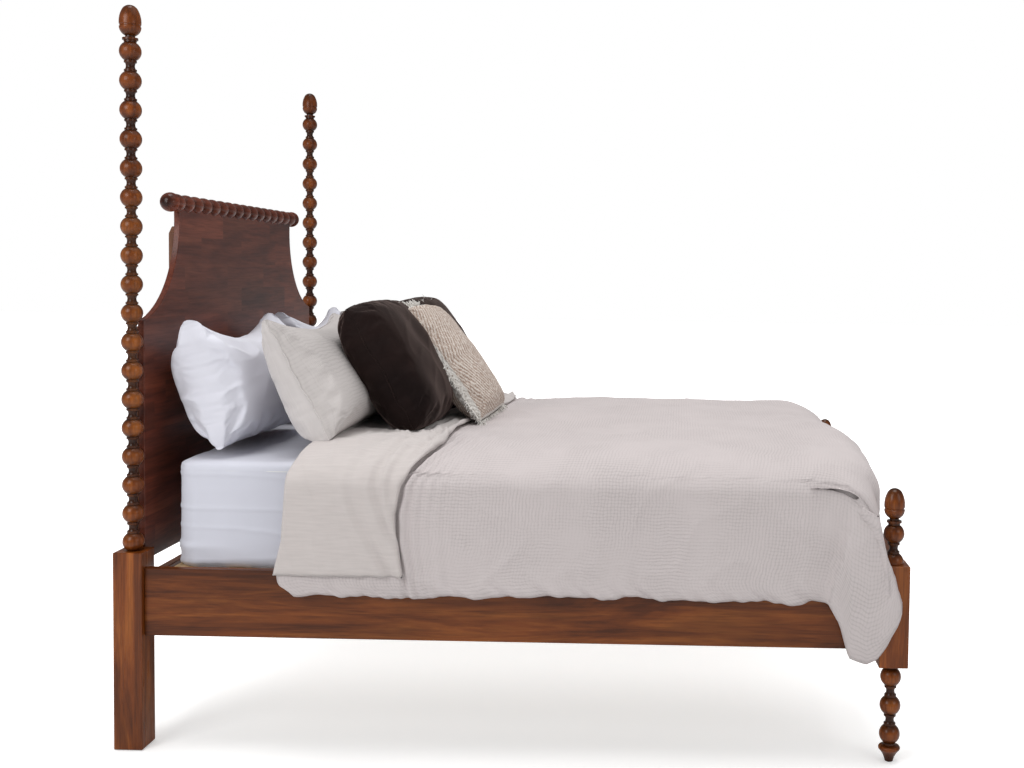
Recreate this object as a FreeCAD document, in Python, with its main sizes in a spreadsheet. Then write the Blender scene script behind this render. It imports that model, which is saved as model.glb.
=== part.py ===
import FreeCAD, Part
import math
import os
import re
import Sketcher

# A spindle bed for a queen mattress, made up with its bedding.
# The origin is on the floor under the middle of the bed. +X runs from the head to the
# foot, +Y to the sleeper's left and +Z up. Lengths are millimetres, angles degrees.

SIZES = {
    # The frame, between the axes of its four posts.
    "bed_long": 2170, "bed_wide": 1580,
    # Posts: a square block with turned beads above it, and below it at the foot.
    "block_side": 82, "block_arris": 1.6, "head_block_top": 569,
    "foot_block_bottom": 281, "foot_block_top": 570,
    "head_post_tip": 2112, "foot_post_tip": 785,
    "bead_pitch": 81.7, "bead_radius": 29.4, "ball_half": 24.5, "groove_tall": 1.6,
    "groove_radius": 14.8, "collar_radius": 16.9, "collar_tall": 5.2, "neck_radius": 11.8,
    "leg_beads": 3, "leg_first_bead": 245.4, "leg_pitch": 82.7,
    "ankle_radius": 29, "ankle_top_radius": 27, "ankle_top": 46, "ankle_tall": 11,
    "ankle_curve": 6.8, "toe_radius": 12, "toe_curve": 62,
    # Acorn finials, turned apart and pinned in with a dowel of the same wood.
    "finial_tall": 98, "finial_radius": 29, "finial_collar_radius": 21,
    "finial_collar_tall": 6, "finial_neck_radius": 13, "finial_neck_up": 12,
    "cup_lip_up": 37, "cup_curve": 28.7, "cup_groove": 1.6, "acorn_low": 44,
    "acorn_shoulder_up": 85, "acorn_shoulder_radius": 21, "acorn_side_curve": 76,
    "dowel_radius": 9, "dowel_long": 40,
    # Rails.
    "rail_bottom": 329, "rail_top": 522, "rail_thick": 28, "rail_setback": 17,
    "rail_arris": 2, "stub_long": 8, "stub_shoulder": 20, "stub_cheek": 5,
    "cross_rail_tall": 150, "cross_rail_back": 5.5, "tenon_long": 25, "tenon_shoulder": 16,
    "tenon_cheek": 6, "foot_rail_arris": 3,
    # Bolts that hold the side rails in the posts.
    "bolt_inset": 52, "bolt_radius": 4, "bolt_head_radius": 6.5, "bolt_head_tall": 8,
    "bolt_bite": 62, "washer_radius": 9, "washer_thick": 2, "recess_radius": 10.5,
    "recess_deep": 20, "cap_thick": 6, "barrel_radius": 6, "barrel_from_end": 45,
    # Headboard.
    "panel_thick": 18, "panel_bottom": 528, "panel_side_gap": 4, "panel_shoulder": 1225,
    "panel_half_top": 503, "panel_curve_top": 1545, "panel_curve": 307, "panel_top": 1564,
    "panel_arris": 1.6, "back_thick": 25, "batten_wide": 64, "batten_inset": 19,
    "batten_top": 1507, "batten_clip": 22, "stile_wide": 60, "stile_top": 1206,
    "stile_foot": 345, "roll_centre": 1577, "roll_radius": 27.5, "roll_beads": 16,
    "roll_pitch": 68, "roll_bead_curve": 50, "roll_neck_radius": 17.5, "roll_end_radius": 29.6,
    "roll_end_out": 3,
    # Slats, their cleats and the beam under them.
    "slat_count": 13, "slat_wide": 70, "slat_thick": 19, "slat_play": 3,
    "slat_top": 514, "cleat_wide": 25, "cleat_tall": 40, "cleat_inset": 24,
    "beam_wide": 40, "beam_tall": 70, "hanger_steel": 3, "hanger_deep": 45,
    "hanger_flange": 28,
    # Wood screws.
    "screw_radius": 2.2, "screw_head_radius": 4.2, "screw_head_tall": 3,
    "cleat_screws": 6, "cleat_screw_long": 40, "cleat_screw_down": 28, "slat_screw_long": 34,
    "back_screws": 4, "back_screw_long": 36, "hanger_screw_long": 18, "hanger_screw_inset": 13,
    # Floor glides.
    "glide_proud": 2, "glide_sunk": 3, "head_glide_radius": 20, "foot_glide_radius": 8,
    # Mattress and bedding.
    "mattress_head_gap": 97, "mattress_foot_gap": 58.5, "mattress_side_gap": 24,
    "mattress_tall": 305, "mattress_corner": 60, "mattress_edge": 22,
    "sheet_thick": 2.5, "soft_gap": 0.3, "sheet_open": 40,
    "duvet_thick": 55, "duvet_edge": 62, "duvet_hem": 462, "duvet_head": 470,
    "duvet_hang": 24, "hang_clear": 1.5, "duvet_step": 610, "foot_tuck_low": 600,
    "foot_tuck_thick": 24, "foot_tuck_clear": 4, "foot_slope_long": 290, "foot_slope_drop": 4,
    "foot_round": 72,
    "cuff_long": 400, "cuff_thick": 44, "cuff_proud": 6, "cuff_hem": 520,
    "corner_from": 125, "corner_reach": 66, "corner_top": 800, "corner_swell": 150,
    "corner_fold": 20, "corner_tip_low": 296, "corner_tip_back": 35, "corner_tip_wide": 50,
    # Pillows: across, along and through.
    "sleeping_wide": 670, "sleeping_tall": 385, "sleeping_thick": 205, "sleeping_lean": 20,
    "sleeping_from_head": 165, "sleeping_aside": 385,
    "sham_wide": 650, "sham_tall": 400, "sham_thick": 175, "sham_lean": 27,
    "sham_from_head": 415, "sham_aside": 380,
    "velvet_wide": 500, "velvet_tall": 440, "velvet_thick": 144, "velvet_lean": 26,
    "velvet_from_head": 638, "velvet_aside": 310,
    "accent_wide": 500, "accent_tall": 430, "accent_thick": 92, "accent_lean": 36,
    "accent_from_head": 797,
    "pillow_corner": 70, "pillow_face": 0.62,
}

RIGHT_LEFT = (("right", -1), ("left", 1))
HEAD_FOOT = (("head", -1), ("foot", 1))
TURN_TO_X = FreeCAD.Rotation(FreeCAD.Vector(0, 1, 0), 90)
TURN_TO_Y = FreeCAD.Rotation(FreeCAD.Vector(1, 0, 0), -90)
UPSIDE_DOWN = FreeCAD.Rotation(FreeCAD.Vector(1, 0, 0), 180)

doc = FreeCAD.newDocument("SpindleBed")
sheet = doc.addObject("Spreadsheet::Sheet", "Sizes")
for row, (alias, number) in enumerate(SIZES.items(), start=1):
    sheet.set(f"A{row}", alias)
    sheet.set(f"B{row}", str(number))
    sheet.setAlias(f"B{row}", alias)
doc.recompute()

nodes = {}


# ---------------------------------------------------------------- formulas and features

def cells(formula):
    """The formula with each size's name written as a cell of the sheet."""
    return re.sub(r"[a-z][a-z_]*", lambda word: "Sizes." + word[0] if word[0] in SIZES else word[0],
                  str(formula))


def number_of(formula):
    """What the formula comes to with the sizes as they are."""
    return float(sheet.evalExpression(re.sub("Sizes.", "", cells(formula))))


def bind(target, name, formula):
    target.setExpression(name, cells(formula))


def put(target, x="0", y="0", z="0"):
    for axis, formula in zip("xyz", (x, y, z)):
        bind(target, f"Placement.Base.{axis}", formula)


def node(label, thing):
    """Keep a finished piece under its own name."""
    thing.Label = label
    nodes[label] = thing
    return thing


def new_body(name, x="0", y="0", z="0"):
    body = doc.addObject("PartDesign::Body", name)
    put(body, x, y, z)
    return body


def block(body, x, y, z, cut=False):
    """A box in the body, or a pocket, between two corners given as (low, high) formulas."""
    feature = body.newObject("PartDesign::SubtractiveBox" if cut else "PartDesign::AdditiveBox", "Block")
    for side, (low, high) in zip(("Length", "Width", "Height"), (x, y, z)):
        bind(feature, side, f"({high}) - ({low})")
    put(feature, x[0], y[0], z[0])
    return feature


def bore(body, radius, depth, at, turn=None):
    """A round hole from a point, upwards or along the axis that the turn gives."""
    feature = body.newObject("PartDesign::SubtractiveCylinder", "Bore")
    if turn:
        feature.Placement.Rotation = turn
    bind(feature, "Radius", radius)
    bind(feature, "Height", depth)
    put(feature, *at)
    return feature


def break_edges(body, feature, size):
    """A small chamfer on every edge of the solid as it stands after the feature."""
    doc.recompute()
    edges = [f"Edge{index + 1}" for index in range(len(feature.Shape.Edges))]
    chamfer = body.newObject("PartDesign::Chamfer", "Arris")
    chamfer.Base = (feature, edges)
    bind(chamfer, "Size", size)
    return chamfer


def arc_between(start, end, radius, side):
    """An arc with its centre on the left (1) or right (-1) of the way from start to end.

    The centre lies on the chord's middle line, as far off as the radius asks. Arcs are
    kept anticlockwise, so the second value says whether the arc begins at the way's end."""
    chord = end - start
    off = math.sqrt(max(radius ** 2 - chord.Length ** 2 / 4, 0))
    left = FreeCAD.Vector(-chord.y, chord.x, 0).normalize()
    centre = (start + end) / 2 + left * (off * side)
    first, last = (start, end) if side > 0 else (end, start)
    angles = [math.atan2(point.y - centre.y, point.x - centre.x) for point in (first, last)]
    if angles[1] <= angles[0]:
        angles[1] += 2 * math.pi
    circle = Part.Circle(centre, FreeCAD.Vector(0, 0, 1), radius)
    return Part.ArcOfCircle(circle, angles[0], angles[1]), side < 0


def outline(body, plane, way, offset=None):
    """A closed sketch on an origin plane of the body.

    Each stop on the way is (across, up), or (across, up, radius, side) where an arc leads
    to it. Every coordinate and radius is held by a constraint with its own formula."""
    sketch = body.newObject("Sketcher::SketchObject", "Outline")
    origin_plane = next(item for item in body.Origin.OriginFeatures if item.Role == plane)
    sketch.AttachmentSupport = [(origin_plane, "")]
    sketch.MapMode = "FlatFace"
    if offset:
        bind(sketch, "AttachmentOffset.Base.z", offset)
    points = [FreeCAD.Vector(number_of(stop[0]), number_of(stop[1]), 0) for stop in way]
    rules = []
    ends = []
    for index, stop in enumerate(way):
        start, end = points[index - 1], points[index]
        if len(stop) == 2:
            edge = sketch.addGeometry(Part.LineSegment(start, end))
            ends.append((edge, 1, 2))
        else:
            arc, backwards = arc_between(start, end, number_of(stop[2]), stop[3])
            edge = sketch.addGeometry(arc)
            ends.append((edge, 2, 1) if backwards else (edge, 1, 2))
            rules.append(("Radius", (edge,), stop[2]))
    for index, (edge, begin, finish) in enumerate(ends):
        before = ends[index - 1]
        sketch.addConstraint(Sketcher.Constraint("Coincident", before[0], before[2], edge, begin))
        for kind, axis, formula in (("DistanceX", -2, way[index][0]), ("DistanceY", -1, way[index][1])):
            if formula == "0":
                sketch.addConstraint(Sketcher.Constraint("PointOnObject", edge, finish, axis))
            else:
                rules.append((kind, (-1, 1, edge, finish), formula))
    for kind, where, formula in rules:
        rule = sketch.addConstraint(Sketcher.Constraint(kind, *where, number_of(formula)))
        bind(sketch, f"Constraints[{rule}]", formula)
    return sketch


def turn(body, way):
    """A solid turned about the body's upright axis from half of its section."""
    sketch = outline(body, "XZ_Plane", way)
    feature = body.newObject("PartDesign::Revolution", "Turning")
    feature.Profile = sketch
    feature.ReferenceAxis = (sketch, ["V_Axis"])
    feature.Angle = 360
    return feature


def pad(body, plane, way, length, offset=None):
    """A plate of the outline's shape, with half its length on each side of the sketch."""
    sketch = outline(body, plane, way, offset)
    feature = body.newObject("PartDesign::Pad", "Plate")
    feature.Profile = sketch
    feature.SideType = "Symmetric"
    bind(feature, "Length", length)
    return feature


def repeat(body, feature, role, count, pitch, backwards=False):
    """Copies of one feature in a row along an origin axis of the body."""
    doc.recompute()
    pattern = body.newObject("PartDesign::LinearPattern", "Row")
    pattern.Originals = [feature]
    axis = next(item for item in body.Origin.OriginFeatures if item.Role == role)
    pattern.Direction = (axis, [""])
    pattern.Reversed = backwards
    bind(pattern, "Occurrences", count)
    bind(pattern, "Length", f"({pitch}) * ({count} - 1)")
    body.Tip = pattern
    return pattern


def cylinder(radius, height, at, turned=None, name="Rod"):
    """A loose round rod from a point, upwards or along the axis that the turn gives."""
    rod = doc.addObject("Part::Cylinder", name)
    if turned:
        rod.Placement.Rotation = turned
    bind(rod, "Radius", radius)
    bind(rod, "Height", height)
    put(rod, *at)
    return rod


def screw(length, at, turned=None):
    """A countersunk wood screw whose flat head starts at the point, along the turned axis."""
    shank = cylinder("screw_radius", length, at, turned, "Shank")
    head = doc.addObject("Part::Cone", "Head")
    if turned:
        head.Placement.Rotation = turned
    bind(head, "Radius1", "screw_head_radius")
    bind(head, "Radius2", "screw_radius")
    bind(head, "Height", "screw_head_tall")
    put(head, *at)
    return fuse([shank, head])


def fuse(shapes):
    joined = doc.addObject("Part::MultiFuse", "Joined")
    joined.Shapes = shapes
    return joined


def group(shapes):
    """Like pieces that share a name: separate solids in one compound."""
    together = doc.addObject("Part::Compound", "Group")
    together.Links = shapes
    return together


def cut(base, tool):
    result = doc.addObject("Part::Cut", "Cut")
    result.Base = base
    result.Tool = tool
    return result


# ---------------------------------------------------------------- places that pieces share

POST_X = "bed_long / 2"
POST_Y = "bed_wide / 2"
INNER_X = "(bed_long / 2 - block_side / 2)"
OUTER_X = "(bed_long / 2 + block_side / 2)"
INNER_Y = "(bed_wide / 2 - block_side / 2)"
RAIL_OUT = "(bed_wide / 2 + block_side / 2 - rail_setback)"
RAIL_IN = "(bed_wide / 2 + block_side / 2 - rail_setback - rail_thick)"
RAIL_MID = "(bed_wide / 2 + block_side / 2 - rail_setback - rail_thick / 2)"
BOLT_HEIGHTS = ("(rail_bottom + bolt_inset)", "(rail_top - bolt_inset)")
COLLAR_HALF = "(ball_half + groove_tall + collar_tall)"
# The panel's back lies in one plane with the back of the cross rail under it.
PANEL_BACK = "(bed_long / 2 + cross_rail_back)"
CROSS_FRONT = "(bed_long / 2 + cross_rail_back - rail_thick)"
FOOT_RAIL_IN = "(bed_long / 2 + block_side / 2 - rail_thick)"
CROSS_TOP = "(rail_bottom + cross_rail_tall)"
SLAT_LOW = "(slat_top - slat_thick)"
# The panel fits between the posts, its battens lie inside its top, and the mattress fits
# between the panel, the foot rail and the side rails.
PANEL_SIDE = f"({INNER_Y} - panel_side_gap)"
BATTEN_OUT = "(panel_half_top - batten_inset)"
MATTRESS_HEAD = f"(panel_thick - {PANEL_BACK} + mattress_head_gap)"
MATTRESS_FOOT = f"({FOOT_RAIL_IN} - mattress_foot_gap)"
MATTRESS_SIDE = f"({RAIL_IN} - mattress_side_gap)"


# ---------------------------------------------------------------- posts

def bead_way(pitch):
    """Half section of one bead from its upper collar down to the next: collar, groove,
    ball, groove, collar and a hollow neck. The bead's centre is at height 0."""
    ball_end = "sqrt(bead_radius ^ 2 - ball_half ^ 2)"
    neck_long = f"(({pitch}) - 2 * {COLLAR_HALF})"
    neck_deep = "(groove_radius - neck_radius)"
    neck_curve = f"({neck_long} ^ 2 / 4 + {neck_deep} ^ 2) / (2 * {neck_deep})"
    groove_end = "(ball_half + groove_tall)"
    return [("0", COLLAR_HALF), ("collar_radius", COLLAR_HALF), ("collar_radius", groove_end),
            ("groove_radius", groove_end), ("groove_radius", "ball_half"), (ball_end, "ball_half"),
            (ball_end, "-ball_half", "bead_radius", -1),
            ("groove_radius", "-ball_half"), ("groove_radius", f"-{groove_end}"),
            ("collar_radius", f"-{groove_end}"), ("collar_radius", f"-{COLLAR_HALF}"),
            ("groove_radius", f"-{COLLAR_HALF}"),
            ("groove_radius", f"-{COLLAR_HALF} - {neck_long}", neck_curve, 1),
            ("0", f"-{COLLAR_HALF} - {neck_long}")]


def raised(way, height):
    return [(stop[0], f"{stop[1]} + {height}", *stop[2:]) for stop in way]


def post(end, side, sign, tip, block_low, block_high):
    """One post: square block, beads above it, mortises and bolt holes in the block.

    As many beads follow each other down from the finial as it takes to reach the block. At
    the foot the post also has a turned leg under its block. The body's own origin is on the
    floor under the post's axis."""
    along = {"head": -1, "foot": 1}[end]
    body = new_body(f"{end}_post_{side}", f"{along} * {POST_X}", f"{sign} * {POST_Y}")
    half = "block_side / 2"
    square = block(body, (f"-{half}", half), (f"-{half}", half), (block_low, block_high))
    break_edges(body, square, "block_arris")
    first = f"({tip} - finial_tall - {COLLAR_HALF})"
    bead = turn(body, raised(bead_way("bead_pitch"), first))
    beads = f"ceil(({tip} - finial_tall - {block_high}) / bead_pitch)"
    repeat(body, bead, "Z_Axis", beads, "bead_pitch", backwards=True)
    if end == "foot":
        turn_leg(body)
    bore(body, "dowel_radius", "dowel_long", ("0", "0", f"{tip} - finial_tall - dowel_long"))
    # The side rail's stub mortise and its bolts: the rail lies off the post's axis.
    rail_y = f"{sign} * ({RAIL_MID} - {POST_Y})"
    stub_half = "(rail_thick / 2 - stub_cheek)"
    face = f"{-along} * {half}"
    inwards = sorted((face, f"{-along} * ({half} - stub_long)"), key=number_of)
    block(body, inwards, (f"{rail_y} - {stub_half}", f"{rail_y} + {stub_half}"),
          ("rail_bottom + stub_shoulder", "rail_top - stub_shoulder"), cut=True)
    outer = {"head": f"-{half}", "foot": f"{half} - recess_deep"}[end]
    for height in BOLT_HEIGHTS:
        bore(body, "bolt_radius + soft_gap", "block_side", (f"-{half}", rail_y, height), TURN_TO_X)
        bore(body, "recess_radius", "recess_deep", (outer, rail_y, height), TURN_TO_X)
    # The cross rail's tenon mortise in the face towards the other post.
    low, high, bottom, top = tenon_section(end)
    across = sorted((f"{-sign} * {half}", f"{-sign} * ({half} - tenon_long)"), key=number_of)
    local = f"- {along} * {POST_X}"
    block(body, (f"{low} {local}", f"{high} {local}"), across, (bottom, top), cut=True)
    # The glide's socket in the foot of the post.
    bore(body, f"{end}_glide_radius", "glide_sunk", ("0", "0", "glide_proud"))
    return node(f"{end}_post_{side}", body)


def tenon_section(end):
    """Where the tenons of the cross rail at this end lie: low and high X, bottom, top."""
    if end == "head":
        return (f"(tenon_cheek - {PANEL_BACK})", f"(-{CROSS_FRONT} - tenon_cheek)",
                "(rail_bottom + tenon_shoulder)", f"({CROSS_TOP} - tenon_shoulder)")
    return (f"({FOOT_RAIL_IN} + tenon_cheek)", f"({OUTER_X} - tenon_cheek)",
            "(rail_bottom + tenon_shoulder)", "(foot_block_top - tenon_shoulder)")


def turn_leg(body):
    """The turned leg under the foot block: three beads, then a ring and a tapered toe."""
    bead = turn(body, raised(bead_way("leg_pitch"), "leg_first_bead"))
    repeat(body, bead, "Z_Axis", "leg_beads", "leg_pitch", backwards=True)
    neck_top = f"(leg_first_bead + {COLLAR_HALF})"
    neck_root = "foot_block_bottom + block_arris"
    turn(body, [("0", neck_root), ("groove_radius", neck_root),
                ("groove_radius", neck_top), ("0", neck_top)])
    last_collar = f"(leg_first_bead - (leg_beads - 1) * leg_pitch - {COLLAR_HALF})"
    ring_low = "(ankle_top - ankle_tall)"
    turn(body, [("0", last_collar), ("collar_radius", last_collar), ("ankle_top_radius", "ankle_top"),
                ("ankle_radius", ring_low, "ankle_curve", -1),
                ("toe_radius", "glide_proud", "toe_curve", 1), ("0", "glide_proud")])


def finial(end, side, sign, tip):
    """An acorn: collar, neck, cup with a grooved lip, and the nut, on a turned dowel."""
    along = {"head": -1, "foot": 1}[end]
    body = new_body(f"{end}_finial_{side}", f"{along} * {POST_X}", f"{sign} * {POST_Y}",
                    f"{tip} - finial_tall")
    nut_top_curve = ("(acorn_shoulder_radius ^ 2 + (finial_tall - acorn_shoulder_up) ^ 2)"
                     " / (2 * (finial_tall - acorn_shoulder_up))")
    groove = "(finial_radius - cup_groove)"
    turn(body, [("0", "-dowel_long"), ("dowel_radius", "-dowel_long"), ("dowel_radius", "0"),
                ("finial_collar_radius", "0"), ("finial_collar_radius", "finial_collar_tall"),
                ("finial_neck_radius", "finial_collar_tall"), ("finial_neck_radius", "finial_neck_up"),
                ("finial_radius", "cup_lip_up", "cup_curve", 1),
                (groove, "cup_lip_up + cup_groove"), (groove, "acorn_low - cup_groove"),
                ("finial_radius", "acorn_low"),
                ("acorn_shoulder_radius", "acorn_shoulder_up", "acorn_side_curve", 1),
                ("0", "finial_tall", nut_top_curve, 1)])
    return node(f"{end}_finial_{side}", body)


for side, sign in RIGHT_LEFT:
    post("head", side, sign, "head_post_tip", "glide_proud", "head_block_top")
    finial("head", side, sign, "head_post_tip")
    post("foot", side, sign, "foot_post_tip", "foot_block_bottom", "foot_block_top")
    finial("foot", side, sign, "foot_post_tip")


# ---------------------------------------------------------------- floor glides

for end, along in HEAD_FOOT:
    for side, sign in RIGHT_LEFT:
        node(f"{end}_glide_{side}",
             cylinder(f"{end}_glide_radius", "glide_proud + glide_sunk",
                      (f"{along} * {POST_X}", f"{sign} * {POST_Y}", "0"), name="Glide"))


# ---------------------------------------------------------------- screws, bolts and nuts

def cleat_screw_x(index):
    """Screws spread evenly along a cleat."""
    reach = f"({INNER_X} - cleat_inset) * 2"
    return f"({index} + 0.5) / cleat_screws * {reach} - ({INNER_X} - cleat_inset)"


def slat_middle(index):
    """The first and last slat lie one slat's width from the cleats' ends."""
    reach = f"({INNER_X} - cleat_inset - slat_wide)"
    return f"(2 * {index} / (slat_count - 1) - 1) * {reach}"


cleat_screws = {}
slat_screws = {}
for side, sign in RIGHT_LEFT:
    from_inside = FreeCAD.Rotation(FreeCAD.Vector(1, 0, 0), -90 * sign)
    cleat_face = f"{sign} * ({RAIL_IN} - cleat_wide)"
    cleat_screws[side] = [screw("cleat_screw_long",
                                (cleat_screw_x(index), cleat_face, f"{SLAT_LOW} - cleat_screw_down"),
                                from_inside)
                          for index in range(int(SIZES["cleat_screws"]))]
    over_cleat = f"{sign} * ({RAIL_IN} - cleat_wide / 2)"
    slat_screws[side] = [screw("slat_screw_long", (slat_middle(index), over_cleat, "slat_top"), UPSIDE_DOWN)
                         for index in range(int(SIZES["slat_count"]))]
node("cleat_screws", group(cleat_screws["right"] + cleat_screws["left"]))
node("slat_screws", group(slat_screws["right"] + slat_screws["left"]))


def back_screw(piece_y, height):
    """A screw through a back member, driven forwards into what is before it."""
    return screw("back_screw_long", (f"-{PANEL_BACK} - back_thick", piece_y, height), TURN_TO_X)


def back_screw_row(piece_y, top):
    """Screws up one back member into the panel, the lowest a little above its bottom."""
    lowest = "(panel_bottom + stile_wide)"
    return [back_screw(piece_y, f"{lowest} + {index} / (back_screws - 1) * ({top} - {lowest})")
            for index in range(int(SIZES["back_screws"]))]


batten_screws = {}
stile_screws = {}
stile_foot_screws = {}
for side, sign in RIGHT_LEFT:
    batten_screws[side] = back_screw_row(f"{sign} * ({BATTEN_OUT} - batten_wide / 2)",
                                         "(batten_top - batten_wide)")
    stile_middle = f"{sign} * ({INNER_Y} - stile_wide / 2)"
    stile_screws[side] = back_screw_row(stile_middle, "(stile_top - stile_wide)")
    stile_foot_screws[side] = [back_screw(stile_middle, f"({CROSS_TOP} - cross_rail_tall / 2)")]
node("headboard_screws", group([item for row in (batten_screws, stile_screws, stile_foot_screws)
                                for side, _ in RIGHT_LEFT for item in row[side]]))

hanger_screws = {}
for end, along in HEAD_FOOT:
    rail_face = {"head": f"-{CROSS_FRONT}", "foot": FOOT_RAIL_IN}[end]
    face = f"{rail_face} - {along} * hanger_steel"
    driven = FreeCAD.Rotation(FreeCAD.Vector(0, 1, 0), 90 * along)
    flange_middle = "(beam_wide / 2 + hanger_steel + hanger_flange / 2)"
    heights = (f"({CROSS_TOP} - hanger_screw_inset)", f"({SLAT_LOW} - beam_tall + hanger_screw_inset)")
    hanger_screws[end] = [screw("hanger_screw_long", (face, f"{sign} * {flange_middle}", height), driven)
                          for _, sign in RIGHT_LEFT for height in heights]
node("hanger_screws", group(hanger_screws["head"] + hanger_screws["foot"]))

bolts = {}
caps, washers, barrels = [], [], []
for end, along in HEAD_FOOT:
    for side, sign in RIGHT_LEFT:
        bolts[end, side] = []
        for height in BOLT_HEIGHTS:
            recess = f"({OUTER_X} - recess_deep)"
            rail_y = f"{sign} * {RAIL_MID}"

            def lie(radius, outer, inner):
                """A rod along the bolt's axis between two distances from the bed's middle."""
                low = f"-({outer})" if along < 0 else inner
                return cylinder(radius, f"({outer}) - ({inner})", (low, rail_y, height), TURN_TO_X)

            seat = f"{recess} + washer_thick"
            head = lie("bolt_head_radius", f"{seat} + bolt_head_tall", seat)
            shank = lie("bolt_radius", seat, f"{INNER_X} - bolt_bite")
            bolt = fuse([head, shank])
            bolts[end, side].append(bolt)
            washers.append(cut(lie("washer_radius", seat, recess), bolt))
            caps.append(lie("recess_radius", OUTER_X, f"{OUTER_X} - cap_thick"))
            across = cylinder("barrel_radius", "rail_thick - stub_cheek",
                              (f"{along} * ({INNER_X} - barrel_from_end)",
                               RAIL_IN if sign > 0 else f"-{RAIL_OUT} + stub_cheek", height), TURN_TO_Y)
            barrels.append(cut(across, bolt))
node("rail_bolts", group([bolt for pair in bolts.values() for bolt in pair]))
node("rail_washers", group(washers))
node("rail_barrel_nuts", group(barrels))
node("bolt_caps", group(caps))


# ---------------------------------------------------------------- side rails and cleats

for side, sign in RIGHT_LEFT:
    near, far = sorted((f"{sign} * {RAIL_IN}", f"{sign} * {RAIL_OUT}"), key=number_of)
    body = new_body(f"side_rail_{side}_wood")
    board = block(body, (f"-{INNER_X}", INNER_X), (near, far), ("rail_bottom", "rail_top"))
    break_edges(body, board, "rail_arris")
    stub = f"({INNER_X} + stub_long)"
    block(body, (f"-{stub}", stub), (f"{near} + stub_cheek", f"{far} - stub_cheek"),
          ("rail_bottom + stub_shoulder", "rail_top - stub_shoulder"))
    for end, along in HEAD_FOOT:
        for height in BOLT_HEIGHTS:
            inner = f"({INNER_X} - bolt_bite - bolt_radius)"
            bore(body, "bolt_radius + soft_gap", f"{stub} - {inner}",
                 (inner if along > 0 else f"-{stub}", f"{sign} * {RAIL_MID}", height), TURN_TO_X)
            bore(body, "barrel_radius", "rail_thick - stub_cheek",
                 (f"{along} * ({INNER_X} - barrel_from_end)",
                  near if sign > 0 else f"{near} + stub_cheek", height), TURN_TO_Y)
    node(f"side_rail_{side}", cut(body, group(cleat_screws[side])))

    cleat = new_body(f"slat_cleat_{side}_wood")
    cleat_y = sorted((f"{sign} * {RAIL_IN}", f"{sign} * ({RAIL_IN} - cleat_wide)"), key=number_of)
    strip = block(cleat, (f"cleat_inset - {INNER_X}", f"{INNER_X} - cleat_inset"),
                  cleat_y, (f"{SLAT_LOW} - cleat_tall", SLAT_LOW))
    break_edges(cleat, strip, "block_arris")
    node(f"slat_cleat_{side}", cut(cleat, group(cleat_screws[side] + slat_screws[side])))


# ---------------------------------------------------------------- cross rails

def cross_rail(label, x, z, end, arris, screws):
    """A board between the two posts of one end, with a tenon at each end of it."""
    body = new_body(f"{label}_wood")
    board = block(body, x, (f"-{INNER_Y}", INNER_Y), z)
    break_edges(body, board, arris)
    low, high, bottom, top = tenon_section(end)
    reach = f"({INNER_Y} + tenon_long)"
    block(body, (low, high), (f"-{reach}", reach), (bottom, top))
    return node(label, cut(body, group(screws)))


cross_rail("head_cross_rail", (f"-{PANEL_BACK}", f"-{CROSS_FRONT}"), ("rail_bottom", CROSS_TOP),
           "head", "rail_arris",
           stile_foot_screws["right"] + stile_foot_screws["left"] + hanger_screws["head"])
cross_rail("foot_rail", (FOOT_RAIL_IN, OUTER_X), ("rail_bottom", "foot_block_top"),
           "foot", "foot_rail_arris", hanger_screws["foot"])


# ---------------------------------------------------------------- beam, hangers and slats

beam_end = "(hanger_steel + soft_gap)"
beam = new_body("centre_beam_wood")
beam_bar = block(beam, (f"{beam_end} - {CROSS_FRONT}", f"{FOOT_RAIL_IN} - {beam_end}"),
                 ("-beam_wide / 2", "beam_wide / 2"), (f"{SLAT_LOW} - beam_tall", SLAT_LOW))
break_edges(beam, beam_bar, "block_arris")
node("centre_beam", beam)

for end, along in HEAD_FOOT:
    rail_face = {"head": CROSS_FRONT, "foot": FOOT_RAIL_IN}[end]
    hanger = new_body(f"beam_hanger_{end}")
    half_wide = "(beam_wide / 2 + hanger_steel)"
    seat = f"({SLAT_LOW} - beam_tall - hanger_steel)"

    def span(near_rail, from_rail):
        """An X range given by two distances from the rail's face towards the bed's middle."""
        return sorted((f"{along} * ({rail_face} - {near_rail})",
                       f"{along} * ({rail_face} - {from_rail})"), key=number_of)

    flanges = (f"-{half_wide} - hanger_flange", f"{half_wide} + hanger_flange")
    block(hanger, span("0", "hanger_steel"), flanges, (seat, CROSS_TOP))
    block(hanger, span("0", "hanger_deep"), (f"-{half_wide}", half_wide), (seat, f"{seat} + hanger_steel"))
    for low, high in ((f"-{half_wide}", "-beam_wide / 2"), ("beam_wide / 2", half_wide)):
        block(hanger, span("0", "hanger_deep"), (low, high), (seat, CROSS_TOP))
    node(f"beam_hanger_{end}", cut(hanger, group(hanger_screws[end])))

for index in range(int(SIZES["slat_count"])):
    slat = new_body(f"slat_{index + 1:02d}_wood", slat_middle(index))
    reach = f"({RAIL_IN} - slat_play)"
    lath = block(slat, ("-slat_wide / 2", "slat_wide / 2"), (f"-{reach}", reach), (SLAT_LOW, "slat_top"))
    break_edges(slat, lath, "block_arris")
    node(f"slat_{index + 1:02d}", cut(slat, group([slat_screws[side][index] for side, _ in RIGHT_LEFT])))


# ---------------------------------------------------------------- headboard

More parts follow.
